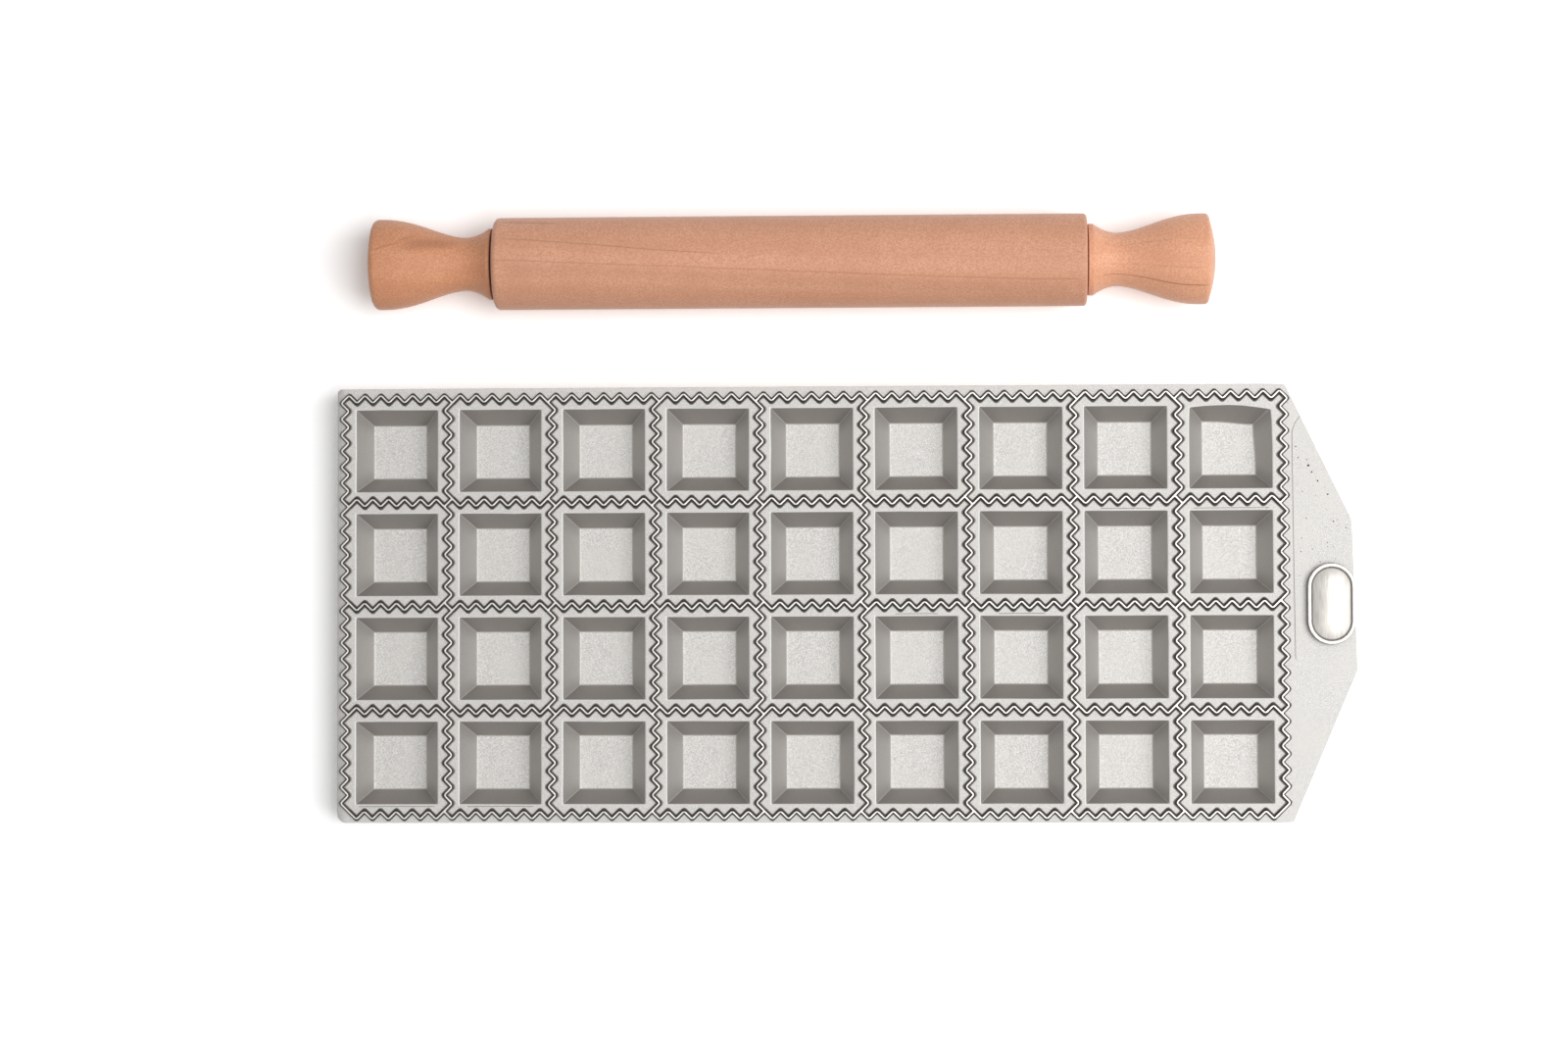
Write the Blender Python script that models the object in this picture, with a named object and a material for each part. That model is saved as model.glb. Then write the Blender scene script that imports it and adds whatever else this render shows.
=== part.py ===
"""Ravioli mould with its rolling pin, in metres, +Z up.

The mould is one aluminium die casting: a tablet with a grid of square pockets, parted by
serrated cutting ridges, with a grip tab at its right end (+X). It stands on rubber feet and
carries a small bright plaque. The turned wooden rolling pin lies on the table behind it (+Y).
The origin is on the table, under the middle of the whole set.
"""

import math

import bmesh
import bpy
from mathutils import Vector

# Pocket grid
COLUMNS = 9
ROWS = 4
PITCH = 0.032  # from one cutting ridge to the next, and so the side of one raviolo
POCKET_MOUTH = 0.0254
POCKET_FLOOR = 0.0162
POCKET_DEPTH = 0.008

# Cutting ridges: a zigzag of 45 degree runs with a flat crest
RUNS_PER_CELL = 13  # odd, so that the zigzags of rows and columns share a run where they cross
RIDGE_HEIGHT = 0.0012
CREST_WIDTH = 0.0004
RIDGE_WIDTH = 0.0016
BEND_REACH = 1.1  # how far the foot of a bend stands out, in half widths of the ridge

# Casting
TABLET_HEIGHT = 0.016  # from the table to the crests
PLATE_WALL = 0.0022
POCKET_WALL = 0.002
SKIRT_WALL = 0.0026
SKIRT_CLEARANCE = 0.001  # under the skirt, which the feet hold off the table
DRAFT = 0.0003  # how far the skirt flares to its lower edge
INNER_RADIUS = 0.001  # least radius of the skirt's corners inside

# Edges of the plate, from the centre lines of the outermost ridges
MARGIN_LEFT = 0.0024
MARGIN_BACK = 0.0032
MARGIN_FRONT = 0.00235
LEFT_BACK_RADIUS = 0.0012
LEFT_FRONT_RADIUS = 0.0028

# Grip tab, from the centre line of the last ridge and from the middle of the plate
TAB_REACH = 0.022
TAB_ROOT_BACK = 0.0005
TAB_ROOT_FRONT = 0.0023
TAB_END_BACK = 0.0256
TAB_END_FRONT = 0.0202
TAB_END_SKEW = 0.0014
TAB_BACK_RADIUS = 0.007
TAB_FRONT_RADIUS = 0.0012

# Plaque on the tab, held by two pegs
PLAQUE_WIDTH = 0.0146
PLAQUE_LENGTH = 0.0248
PLAQUE_HEIGHT = 0.0016
PLAQUE_RIM = 0.0013
PLAQUE_SINK = 0.0005
PLAQUE_CROWN = 0.0004  # how far the field rises to its middle
PLAQUE_FROM_RIDGE = 0.0141
PEG_RADIUS = 0.001
PEG_LENGTH = 0.0023
PEG_SPACING = 0.013

# Rubber feet, stuck under the four corner pockets
FOOT_RADIUS = 0.006
FOOT_TIP_RADIUS = 0.0052

# Rolling pin
BARREL_RADIUS = 0.01425
BARREL_LENGTH = 0.182
BARREL_EDGE = 0.0016
HANDLE_LENGTH = 0.039
HANDLE_RELIEF = 0.0003  # how much slimmer than the barrel, so that only the barrel rolls
NECK_RADIUS = 0.0082
NECK_FROM_COLLAR = 0.0075
BELLY_FROM_END = 0.0048
COLLAR_RADIUS = 0.011
COLLAR_LEFT = 0.001
COLLAR_RIGHT = 0.0015
END_EDGE = 0.002
END_CROWN = 0.0012
SWELL_BIAS = 0.85  # under 1, the swell leaves the neck sooner
GAP_LEFT = 0.0008
GAP_RIGHT = 0.0004
AXLE_RADIUS = 0.003
AXLE_SEAT = 0.024  # how deep the axle goes into each handle
BUSH_RADIUS = 0.006
BUSH_LENGTH = 0.012
PIN_FROM_PLATE = 0.0385  # from the plate's back edge to the pin's axis
PIN_SHIFT = -0.0066  # the middle of the barrel, from the middle of the pocket grid

# Shared
CLEARANCE = 0.0003  # between pieces that touch
BARREL_SIDES = 40
HANDLE_SIDES = 32
SMALL_SIDES = 20
PEG_SIDES = 10
CORNER_STEPS = 5
PLAQUE_STEPS = 12
EDGE_STEPS = 3
COVE_STEPS = 5
SWELL_STEPS = 7
SMOOTH_UNDER = 40  # degrees between faces that are shaded as one surface

# Worked out from the sizes above
RUN = PITCH / RUNS_PER_CELL
HALF_GRID = Vector((COLUMNS * PITCH / 2, ROWS * PITCH / 2))
LAND_Z = TABLET_HEIGHT - RIDGE_HEIGHT
UNDER_Z = LAND_Z - PLATE_WALL
POCKET_Z = LAND_Z - POCKET_DEPTH
BUMP_Z = POCKET_Z - PLATE_WALL
PLATE_LEFT = -HALF_GRID.x - MARGIN_LEFT
PLATE_BACK = HALF_GRID.y + MARGIN_BACK
PLATE_FRONT = -HALF_GRID.y - MARGIN_FRONT
TAB_END = HALF_GRID.x + TAB_REACH
HANDLE_RADIUS = BARREL_RADIUS - HANDLE_RELIEF
AXIS_Z = BARREL_RADIUS * math.cos(math.pi / BARREL_SIDES)
AXIS_Y = PLATE_BACK + PIN_FROM_PLATE
SET_MIDDLE = Vector(
    (
        (PLATE_LEFT + TAB_END) / 2,
        (PLATE_FRONT - DRAFT + AXIS_Y + AXIS_Z) / 2,
    )
)

# The four ways a ridge can run from a bend, counter-clockwise from +X +Y
WAYS = ((1, 1), (-1, 1), (-1, -1), (1, -1))


def clear_scene():
    for old in list(bpy.data.objects):
        bpy.data.objects.remove(old, do_unlink=True)


def material(name, colour, roughness, metallic=0.0):
    made = bpy.data.materials.new(name)
    made.use_nodes = True
    shader = made.node_tree.nodes["Principled BSDF"]
    shader.inputs["Base Color"].default_value = (*colour, 1.0)
    shader.inputs["Roughness"].default_value = roughness
    shader.inputs["Metallic"].default_value = metallic
    return made


def add_object(name, bm, finish, at=(0.0, 0.0, 0.0), smooth_under=None):
    """Turn a bmesh into a named object. Its place is given from the middle of the pocket grid."""
    bmesh.ops.recalc_face_normals(bm, faces=bm.faces[:])
    mesh = bpy.data.meshes.new(name)
    bm.to_mesh(mesh)
    bm.free()
    if smooth_under is not None:
        mesh.shade_smooth()
        mesh.set_sharp_from_angle(angle=math.radians(smooth_under))
    mesh.materials.append(finish)
    made = bpy.data.objects.new(name, mesh)
    made.location = Vector(at) - Vector((SET_MIDDLE.x, SET_MIDDLE.y, 0.0))
    bpy.context.scene.collection.objects.link(made)
    return made


def rounded_outline(corners):
    """Points round an outline whose corners are given as (x, y, radius), counter-clockwise."""
    points = []
    for index, (x, y, radius) in enumerate(corners):
        here = Vector((x, y))
        before = Vector(corners[index - 1][:2])
        after = Vector(corners[(index + 1) % len(corners)][:2])
        back = (before - here).normalized()
        on = (after - here).normalized()
        half = back.angle(on) / 2
        centre = here + (back + on).normalized() * radius / math.sin(half)
        start = here + back * radius / math.tan(half) - centre
        turn = math.pi - 2 * half
        for step in range(CORNER_STEPS + 1):
            angle = turn * step / CORNER_STEPS
            cos, sin = math.cos(angle), math.sin(angle)
            spoke = Vector((start.x * cos - start.y * sin, start.x * sin + start.y * cos))
            points.append(centre + spoke)
    return points


def offset_outline(points, distance):
    """The same points moved outwards, so that each side moves by the distance."""
    moved = []
    for index, here in enumerate(points):
        back = (here - points[index - 1]).normalized()
        on = (points[(index + 1) % len(points)] - here).normalized()
        out = Vector((back.y + on.y, -back.x - on.x)).normalized()
        moved.append(here + out * distance / math.sqrt((1 + back.dot(on)) / 2))
    return moved


def circle(centre, radius, sides):
    return [
        centre + radius * Vector((math.cos(turn), math.sin(turn)))
        for turn in (math.tau * side / sides for side in range(sides))
    ]


def square(centre, side):
    return [centre + Vector((x, y)) * side / 2 for x, y in WAYS]


def ring(bm, points, z):
    """A loop of vertices at one height, joined by edges."""
    verts = [bm.verts.new((point.x, point.y, z)) for point in points]
    for index, vert in enumerate(verts):
        bm.edges.new((verts[index - 1], vert))
    return verts


def wall(bm, lower, upper):
    """Faces between two loops with as many vertices each."""
    for index in range(len(lower)):
        bm.faces.new((lower[index - 1], lower[index], upper[index], upper[index - 1]))


def edges_of(bm, loop):
    return [bm.edges.get((loop[index - 1], loop[index])) for index in range(len(loop))]


def fill(bm, loops):
    """Fill the flat area inside the first loop and outside the others."""
    edges = [edge for loop in loops for edge in edges_of(bm, loop)]
    bmesh.ops.triangle_fill(bm, edges=edges, use_beauty=True, normal=(0.0, 0.0, 1.0))


def ridge_runs():
    """Every straight run of the cutting ridges, as a pair of bends on the grid of bends.

    Bend (0, 0) is half a run to the right of and above the grid's lower left corner. Each
    zigzag swings by half a run to both sides of its line. Row and column zigzags share the
    diagonal run at each crossing. A run that would end in the air is left out.
    """
    runs = set()
    for line in range(ROWS + 1):
        base = RUNS_PER_CELL * line
        bends = [(m, base - (m + line) % 2) for m in range(-1, RUNS_PER_CELL * COLUMNS + 1)]
        runs.update(frozenset(pair) for pair in zip(bends, bends[1:]))
    for line in range(COLUMNS + 1):
        base = RUNS_PER_CELL * line
        bends = [(base - (n + line) % 2, n) for n in range(-1, RUNS_PER_CELL * ROWS + 1)]
        runs.update(frozenset(pair) for pair in zip(bends, bends[1:]))
    ends = [bend for run in runs for bend in run]
    return {run for run in runs if all(ends.count(bend) > 1 for bend in run)}


def ways_from_bends(runs):
    """For each bend, the ways that runs leave it, in counter-clockwise order."""
    ways = {}
    for run in runs:
        for here in run:
            (there,) = run - {here}
            way = WAYS.index((there[0] - here[0], there[1] - here[1]))
            ways.setdefault(here, []).append(way)
    return {bend: sorted(found) for bend, found in ways.items()}


def wedge_corner(bend, way, next_way, reaches):
    """Where two neighbouring runs' sides meet, in the wedge that opens from way to next_way."""
    quarters = (next_way - way) % 4 or 4
    direction = math.radians(45 + 90 * way + 45 * quarters)
    place = Vector((bend[0] + 0.5, bend[1] + 0.5)) * RUN - HALF_GRID
    return place + reaches[quarters] * Vector((math.cos(direction), math.sin(direction)))


def cutting_ridges(bm):
    """Model the ridges, and return the loops of their foot: one for each cell, and the outer one."""
    mitre = math.sqrt(2)
    crest_half = CREST_WIDTH / 2
    foot_half = RIDGE_WIDTH / 2
    crest_reach = {1: crest_half * mitre, 2: crest_half, 3: crest_half * mitre}
    foot_reach = {1: foot_half * mitre, 2: foot_half, 3: foot_half * BEND_REACH}
    ways = ways_from_bends(ridge_runs())
    foot, crest = {}, {}
    for bend, found in ways.items():
        for index, way in enumerate(found):
            next_way = found[(index + 1) % len(found)]
            low = wedge_corner(bend, way, next_way, foot_reach)
            high = wedge_corner(bend, way, next_way, crest_reach)
            foot[bend, way] = bm.verts.new((low.x, low.y, LAND_Z))
            crest[bend, way] = bm.verts.new((high.x, high.y, TABLET_HEIGHT))

    def wedge_after(bend, way):
        """The far end of the run that leaves this bend, and the wedge there on the same side."""
        far = (bend[0] + WAYS[way][0], bend[1] + WAYS[way][1])
        found = ways[far]
        return far, found[found.index((way + 2) % 4) - 1]

    for here in foot:
        there = wedge_after(*here)
        bm.faces.new((foot[there], foot[here], crest[here], crest[there]))
        opposite = (there[0], (here[1] + 2) % 4)
        if here < opposite:
            beside = wedge_after(*opposite)
            bm.faces.new((crest[beside], crest[opposite], crest[there], crest[here]))
    for bend, found in ways.items():
        if len(found) > 2:
            bm.faces.new([crest[bend, way] for way in found])

    loops, left = [], set(foot)
    while left:
        start = here = min(left)
        loop = []
        while here in left:
            left.remove(here)
            loop.append(foot[here])
            here = wedge_after(*here)
        assert here == start
        loops.append(loop)
    loops.sort(key=len)
    return loops[:-1], loops[-1]


def pocket_centres():
    for row in range(ROWS):
        for column in range(COLUMNS):
            yield Vector((column + 0.5, row + 0.5)) * PITCH - HALF_GRID


def plate_outline(spread=0.0):
    """The edge of the plate with its tab, moved outwards by the spread."""
    corners = (
        (PLATE_LEFT, PLATE_FRONT, LEFT_FRONT_RADIUS),
        (HALF_GRID.x + TAB_ROOT_FRONT, PLATE_FRONT, TAB_FRONT_RADIUS / 2),
        (TAB_END, -TAB_END_FRONT, TAB_FRONT_RADIUS),
        (TAB_END - TAB_END_SKEW, TAB_END_BACK, TAB_BACK_RADIUS),
        (HALF_GRID.x + TAB_ROOT_BACK, PLATE_BACK, TAB_FRONT_RADIUS),
        (PLATE_LEFT, PLATE_BACK, LEFT_BACK_RADIUS),
    )
    places = offset_outline([Vector((x, y)) for x, y, radius in corners], spread)
    radii = [radius if spread == 0 else max(radius + spread, INNER_RADIUS) for x, y, radius in corners]
    return rounded_outline([(*place, radius) for place, radius in zip(places, radii)])


def plaque_centre():
    return Vector((HALF_GRID.x + PLAQUE_FROM_RIDGE, 0.0))


def peg_centres():
    return [plaque_centre() + Vector((0.0, side * PEG_SPACING / 2)) for side in (-1, 1)]


def tablet(finish):
    """The casting: ridges, lands and pockets above, pocket bumps inside a skirt below."""
    bm = bmesh.new()
    cells, outer = cutting_ridges(bm)

    under_loops = []
    for centre in pocket_centres():
        mouth = ring(bm, square(centre, POCKET_MOUTH), LAND_Z)
        floor = ring(bm, square(centre, POCKET_FLOOR), POCKET_Z)
        wall(bm, floor, mouth)
        bm.faces.new(floor)
        cell = min(cells, key=lambda loop: (middle(loop) - centre).length)
        fill(bm, [cell, mouth])
        root = ring(bm, square(centre, POCKET_MOUTH + 2 * POCKET_WALL), UNDER_Z)
        bump = ring(bm, square(centre, POCKET_FLOOR + 2 * POCKET_WALL), BUMP_Z)
        wall(bm, bump, root)
        bm.faces.new(bump)
        under_loops.append(root)

    holes = []
    for centre in peg_centres():
        points = circle(centre, PEG_RADIUS + CLEARANCE, PEG_SIDES)
        low, high = ring(bm, points, UNDER_Z), ring(bm, points, LAND_Z)
        wall(bm, low, high)
        under_loops.append(low)
        holes.append(high)

    top = ring(bm, plate_outline(), LAND_Z)
    skirt_foot = ring(bm, plate_outline(DRAFT), SKIRT_CLEARANCE)
    skirt_inside = ring(bm, plate_outline(-SKIRT_WALL), SKIRT_CLEARANCE)
    skirt_root = ring(bm, plate_outline(-SKIRT_WALL - DRAFT), UNDER_Z)
    wall(bm, skirt_foot, top)
    wall(bm, skirt_inside, skirt_foot)
    wall(bm, skirt_root, skirt_inside)
    fill(bm, [top, outer, *holes])
    fill(bm, [skirt_root, *under_loops])
    return add_object("tablet_casting", bm, finish)


def middle(loop):
    """The middle of a loop's box, seen from above."""
    xs = [vert.co.x for vert in loop]
    ys = [vert.co.y for vert in loop]
    return Vector((min(xs) + max(xs), min(ys) + max(ys))) / 2


def oval(width, length):
    """A slot-shaped loop along Y, from two half circles."""
    radius = width / 2
    shift = Vector((0.0, length / 2 - radius))
    points = []
    for end in (1, -1):
        for step in range(PLAQUE_STEPS + 1):
            turn = math.pi * step / PLAQUE_STEPS
            spoke = Vector((math.cos(turn), math.sin(turn))) * radius
            points.append(end * (shift + spoke))
    return points


def plaque(finish):
    """A plain oval plaque with a raised rim and a crowned field, on two pegs."""
    bm = bmesh.new()
    rim_top = PLAQUE_HEIGHT
    field = PLAQUE_HEIGHT - PLAQUE_SINK
    slope = PLAQUE_SINK / 2
    crown_edge = PLAQUE_RIM + slope
    crown_reach = PLAQUE_WIDTH / 2 - crown_edge
    steps = (
        (0.0, 0.0),
        (0.0, rim_top - slope),
        (slope, rim_top),
        (PLAQUE_RIM, rim_top),
        (crown_edge, field),
        (crown_edge + crown_reach / 3, field + PLAQUE_CROWN * 5 / 9),
        (crown_edge + crown_reach * 2 / 3, field + PLAQUE_CROWN * 8 / 9),
    )
    rings = [
        ring(bm, oval(PLAQUE_WIDTH - 2 * inset, PLAQUE_LENGTH - 2 * inset), height)
        for inset, height in steps
    ]
    for lower, upper in zip(rings, rings[1:]):
        wall(bm, lower, upper)
    bm.faces.new(rings[-1])
    pegs = []
    for centre in peg_centres():
        points = circle(centre - plaque_centre(), PEG_RADIUS, PEG_SIDES)
        root, tip = ring(bm, points, 0.0), ring(bm, points, -PEG_LENGTH)
        wall(bm, tip, root)
        bm.faces.new(tip)
        pegs.append(root)
    fill(bm, [rings[0], *pegs])
    at = (*plaque_centre(), LAND_Z + CLEARANCE)
    return add_object("plaque", bm, finish, at, smooth_under=SMOOTH_UNDER)


def turned(profile, sides, along="X"):
    """Spin a closed profile of (distance along the axis, radius). A radius of 0 is a pole.

    A flat side of the turned solid faces -Z.
    """
    bm = bmesh.new()
    rings = []
    for distance, radius in profile:
        if radius == 0:
            spokes = [(0.0, 0.0)]
        else:
            turns = (math.tau * (side + 0.5) / sides for side in range(sides))
            spokes = [(radius * math.cos(turn), radius * math.sin(turn)) for turn in turns]
        if along == "X":
            rings.append([bm.verts.new((distance, a, b)) for a, b in spokes])
        else:
            rings.append([bm.verts.new((a, b, distance)) for a, b in spokes])
    closed = len(rings[0]) > 1
    for index in range(0 if closed else 1, len(rings)):
        lower, upper = rings[index - 1], rings[index]
        for side in range(sides):
            corners = [lower[side - 1], lower[side], upper[side], upper[side - 1]] if (
                len(lower) > 1 and len(upper) > 1
            ) else (
                [lower[0], upper[side], upper[side - 1]]
                if len(lower) == 1
                else [lower[side - 1], lower[side], upper[0]]
            )
            bm.faces.new(corners)
    return bm


def foot(name, column, row, finish):
    """A rubber button under a corner pocket, from just under the pocket's bump to the table."""
    centre = Vector((column + 0.5, row + 0.5)) * PITCH - HALF_GRID
    top = BUMP_Z - CLEARANCE
    edge = FOOT_RADIUS - FOOT_TIP_RADIUS
    profile = (
        (0.0, 0.0),
        (0.0, FOOT_TIP_RADIUS - edge / 2),
        (edge / 2, FOOT_TIP_RADIUS),
        (top, FOOT_RADIUS),
        (top, 0.0),
    )
    bm = turned(profile, SMALL_SIDES, along="Z")
    return add_object(name, bm, finish, (*centre, 0.0), smooth_under=SMOOTH_UNDER)


def rounded_end(at, radius, edge, inwards):
    """Profile points of a rounded outer edge, from the end face to the side."""
    return [
        (
            at + inwards * edge * (1 - math.cos(math.pi / 2 * step / EDGE_STEPS)),
            radius - edge * (1 - math.sin(math.pi / 2 * step / EDGE_STEPS)),
        )
        for step in range(EDGE_STEPS + 1)
    ]


def barrel(finish):
    """The rolling barrel, bored right through, with a wider seat for a bush at each end."""
    half = BARREL_LENGTH / 2
    seat = BUSH_RADIUS + CLEARANCE
    seat_end = half - BUSH_LENGTH - 2 * CLEARANCE
    bore = AXLE_RADIUS + 2 * CLEARANCE
    left = [(-half, seat), *rounded_end(-half, BARREL_RADIUS, BARREL_EDGE, 1)]
    right = [(-distance, radius) for distance, radius in reversed(left)]
    inside = [(seat_end, seat), (seat_end, bore), (-seat_end, bore), (-seat_end, seat)]
    bm = turned(left + right + inside, BARREL_SIDES)
    return add_object("pin_barrel", bm, finish, (PIN_SHIFT, AXIS_Y, AXIS_Z), smooth_under=SMOOTH_UNDER)


def handle(name, side, gap, collar, finish):
    """A turned handle: collar, cove to the neck, swell to the belly and a crowned end."""
    cove = NECK_FROM_COLLAR
    swell = HANDLE_LENGTH - BELLY_FROM_END - collar - cove
    outside = [(0.0, AXLE_RADIUS + CLEARANCE), (0.0, COLLAR_RADIUS)]
    for step in range(COVE_STEPS + 1):
        t = step / COVE_STEPS
        radius = NECK_RADIUS + (COLLAR_RADIUS - NECK_RADIUS) * (1 - t) ** 2
        outside.append((collar + cove * t, radius))
    for step in range(1, SWELL_STEPS + 1):
        t = step / SWELL_STEPS
        rise = math.sin(math.pi / 2 * t**SWELL_BIAS) ** 2
        radius = NECK_RADIUS + (HANDLE_RADIUS - NECK_RADIUS) * rise
        outside.append((collar + cove + swell * t, radius))
    shoulder = HANDLE_LENGTH - END_CROWN
    outside.extend(reversed(rounded_end(shoulder, HANDLE_RADIUS, END_EDGE, -1)))
    outside.append((HANDLE_LENGTH - END_CROWN / 4, HANDLE_RADIUS / 2))
    outside.append((HANDLE_LENGTH, 0.0))
    hole_end = AXLE_SEAT + CLEARANCE
    profile = [(hole_end, 0.0), (hole_end, AXLE_RADIUS + CLEARANCE), *outside]
    start = BARREL_LENGTH / 2 + gap
    bm = turned([(side * (start + distance), radius) for distance, radius in profile], HANDLE_SIDES)
    return add_object(name, bm, finish, (PIN_SHIFT, AXIS_Y, AXIS_Z), smooth_under=SMOOTH_UNDER)


def axle(finish):
    """The steel rod that both handles are fixed to."""
    left = -BARREL_LENGTH / 2 - GAP_LEFT - AXLE_SEAT
    right = BARREL_LENGTH / 2 + GAP_RIGHT + AXLE_SEAT
    profile = ((left, 0.0), (left, AXLE_RADIUS), (right, AXLE_RADIUS), (right, 0.0))
    bm = turned(profile, SMALL_SIDES)
    return add_object("pin_axle", bm, finish, (PIN_SHIFT, AXIS_Y, AXIS_Z), smooth_under=SMOOTH_UNDER)


def bush(name, side, finish):
    """A plain nylon bush in the barrel's end, on which the barrel turns about the axle."""
    outer_end = BARREL_LENGTH / 2 - CLEARANCE
    inner_end = outer_end - BUSH_LENGTH
    bore = AXLE_RADIUS + CLEARANCE
    profile = (
        (side * inner_end, bore),
        (side * inner_end, BUSH_RADIUS),
        (side * outer_end, BUSH_RADIUS),
        (side * outer_end, bore),
    )
    bm = turned(profile, SMALL_SIDES)
    return add_object(name, bm, finish, (PIN_SHIFT, AXIS_Y, AXIS_Z), smooth_under=SMOOTH_UNDER)


def main():
    clear_scene()
    aluminium = material("cast_aluminium", (0.62, 0.61, 0.6), 0.45, 1.0)
    bright = material("polished_nickel", (0.8, 0.77, 0.74), 0.15, 1.0)
    rubber = material("black_rubber", (0.03, 0.03, 0.03), 0.8)
    beech = material("barrel_beech", (0.62, 0.36, 0.24), 0.6)
    handle_wood = material("handle_beech", (0.64, 0.37, 0.23), 0.6)
    steel = material("axle_steel", (0.55, 0.55, 0.56), 0.35, 1.0)
    nylon = material("bush_nylon", (0.8, 0.79, 0.75), 0.5)

    tablet(aluminium)
    plaque(bright)
    foot("foot_front_left", 0, 0, rubber)
    foot("foot_front_right", COLUMNS - 1, 0, rubber)
    foot("foot_back_left", 0, ROWS - 1, rubber)
    foot("foot_back_right", COLUMNS - 1, ROWS - 1, rubber)
    barrel(beech)
    handle("pin_handle_left", -1, GAP_LEFT, COLLAR_LEFT, handle_wood)
    handle("pin_handle_right", 1, GAP_RIGHT, COLLAR_RIGHT, handle_wood)
    axle(steel)
    bush("pin_bush_left", -1, nylon)
    bush("pin_bush_right", 1, nylon)


main()
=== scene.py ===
"""The looks of a ravioli mould and its rolling pin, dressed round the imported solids.

Metres, +Z up, in the frame of the solids. The mould's casting, plaque and feet and the pin's
turned wood are modelled again here with fine edges. The axle and the bushes keep their solids.
"""

import math
import random

import bmesh
import bpy
from mathutils import Matrix, Vector


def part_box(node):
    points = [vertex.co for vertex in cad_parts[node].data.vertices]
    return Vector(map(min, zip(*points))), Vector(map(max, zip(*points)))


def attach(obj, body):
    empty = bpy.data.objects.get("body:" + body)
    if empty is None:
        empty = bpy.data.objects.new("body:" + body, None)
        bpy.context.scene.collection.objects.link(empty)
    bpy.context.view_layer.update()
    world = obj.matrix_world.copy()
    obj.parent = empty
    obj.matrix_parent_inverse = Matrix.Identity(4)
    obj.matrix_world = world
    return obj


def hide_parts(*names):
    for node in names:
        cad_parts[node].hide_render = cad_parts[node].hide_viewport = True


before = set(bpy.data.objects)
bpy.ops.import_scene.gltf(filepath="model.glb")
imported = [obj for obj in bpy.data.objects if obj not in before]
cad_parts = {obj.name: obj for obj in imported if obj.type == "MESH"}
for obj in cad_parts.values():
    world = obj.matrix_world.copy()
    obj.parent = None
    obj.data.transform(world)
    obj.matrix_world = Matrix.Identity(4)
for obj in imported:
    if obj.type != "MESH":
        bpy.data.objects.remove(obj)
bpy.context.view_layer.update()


# Camera, from the photograph
CAMERA_PLACE = (0.03106, -0.042255, 1.1141)
CAMERA_TILT = 0.0371
CAMERA_LEAN = 0.04491
CAMERA_ROLL = -0.00435
CAMERA_LENS = 82.41


def photo_camera():
    camera = bpy.data.objects.new("photo_camera", bpy.data.cameras.new("photo_camera"))
    bpy.context.scene.collection.objects.link(camera)
    camera.data.lens = CAMERA_LENS
    turn = (
        Matrix.Rotation(CAMERA_TILT, 4, "X")
        @ Matrix.Rotation(CAMERA_LEAN, 4, "Y")
        @ Matrix.Rotation(CAMERA_ROLL, 4, "Z")
    )
    camera.matrix_world = Matrix.Translation(CAMERA_PLACE) @ turn
    bpy.context.scene.camera = camera


photo_camera()


# Places read from the solids
def solid_middle(name):
    low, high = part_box(name)
    return (Vector(low) + Vector(high)) / 2


COLUMNS = 9
ROWS = 4
FIRST_FOOT = solid_middle("foot_front_left")
LAST_FOOT = solid_middle("foot_back_right")
PITCH = (LAST_FOOT.x - FIRST_FOOT.x) / (COLUMNS - 1)
GRID = Vector(((FIRST_FOOT.x + LAST_FOOT.x) / 2, (FIRST_FOOT.y + LAST_FOOT.y) / 2, 0.0))
HALF = Vector((COLUMNS, ROWS, 0.0)) * PITCH / 2
TOP_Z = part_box("tablet_casting")[1][2]

PLAQUE_MIDDLE = solid_middle("plaque")
PLAQUE_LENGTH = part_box("plaque")[1][1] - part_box("plaque")[0][1]
PLAQUE_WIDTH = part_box("plaque")[1][0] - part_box("plaque")[0][0]
PLAQUE_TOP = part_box("plaque")[1][2]
PLAQUE_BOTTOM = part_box("plaque")[0][2]
FOOT_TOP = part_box("foot_front_left")[1][2]

AXIS = solid_middle("pin_barrel")
BARREL_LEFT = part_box("pin_barrel")[0][0]
BARREL_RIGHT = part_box("pin_barrel")[1][0]
BARREL_RADIUS = (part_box("pin_barrel")[1][2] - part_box("pin_barrel")[0][2]) / 2

# Modelling
NEAR = 0.00002  # how close a vertex lies to the height or place it is picked by
LEVEL = 0.99  # the upward part of a level face's normal is above this
UPWARD = 0.1  # and that of a face that looks up at all is above this
SHARP = 0.5  # the faces at a sharp edge meet at more than this, in radians
FLAT = math.radians(0.5)  # faces that meet at less than this are joined
SMOOTH_ANGLE = 40  # faces that meet at less than this are shaded as one, in degrees
TURNED_ANGLE = 35

# Casting
RUNS_PER_CELL = 13
RUN = PITCH / RUNS_PER_CELL
RIDGE_HEIGHT = 0.0012
CREST_HALF = 0.0002
FLANK_REACH = 0.00085
OUTER_FLANK_REACH = 0.0006
BEND_ROUND = 0.00085  # on the outer side of a bend
BEND_HOLLOW = 0.00025  # and on its inner side
BEND_STEPS = 4
LATTICE_COUNT = 90  # enough squares to cover the plate
LATTICE_REACH = 0.6 * RUN  # how far beyond the cells it is kept
FEWEST_CELL_CORNERS = 10
MOST_CELL_CORNERS = 100
FIRST_SURROUND = 0.006
LAST_SURROUND = 0.00091  # just beyond the ridges' foot at the outer bends
SURROUND_CORNER = 0.0029
CREST_EDGE = 0.00007
RIM_EDGE = 0.00015
LAND_Z = TOP_Z - RIDGE_HEIGHT
POCKET_MOUTH = 0.0254
POCKET_FLOOR = 0.0162
POCKET_DEPTH = 0.008
POCKET_EDGE = 0.00026
POCKET_SEED = 7
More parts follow.
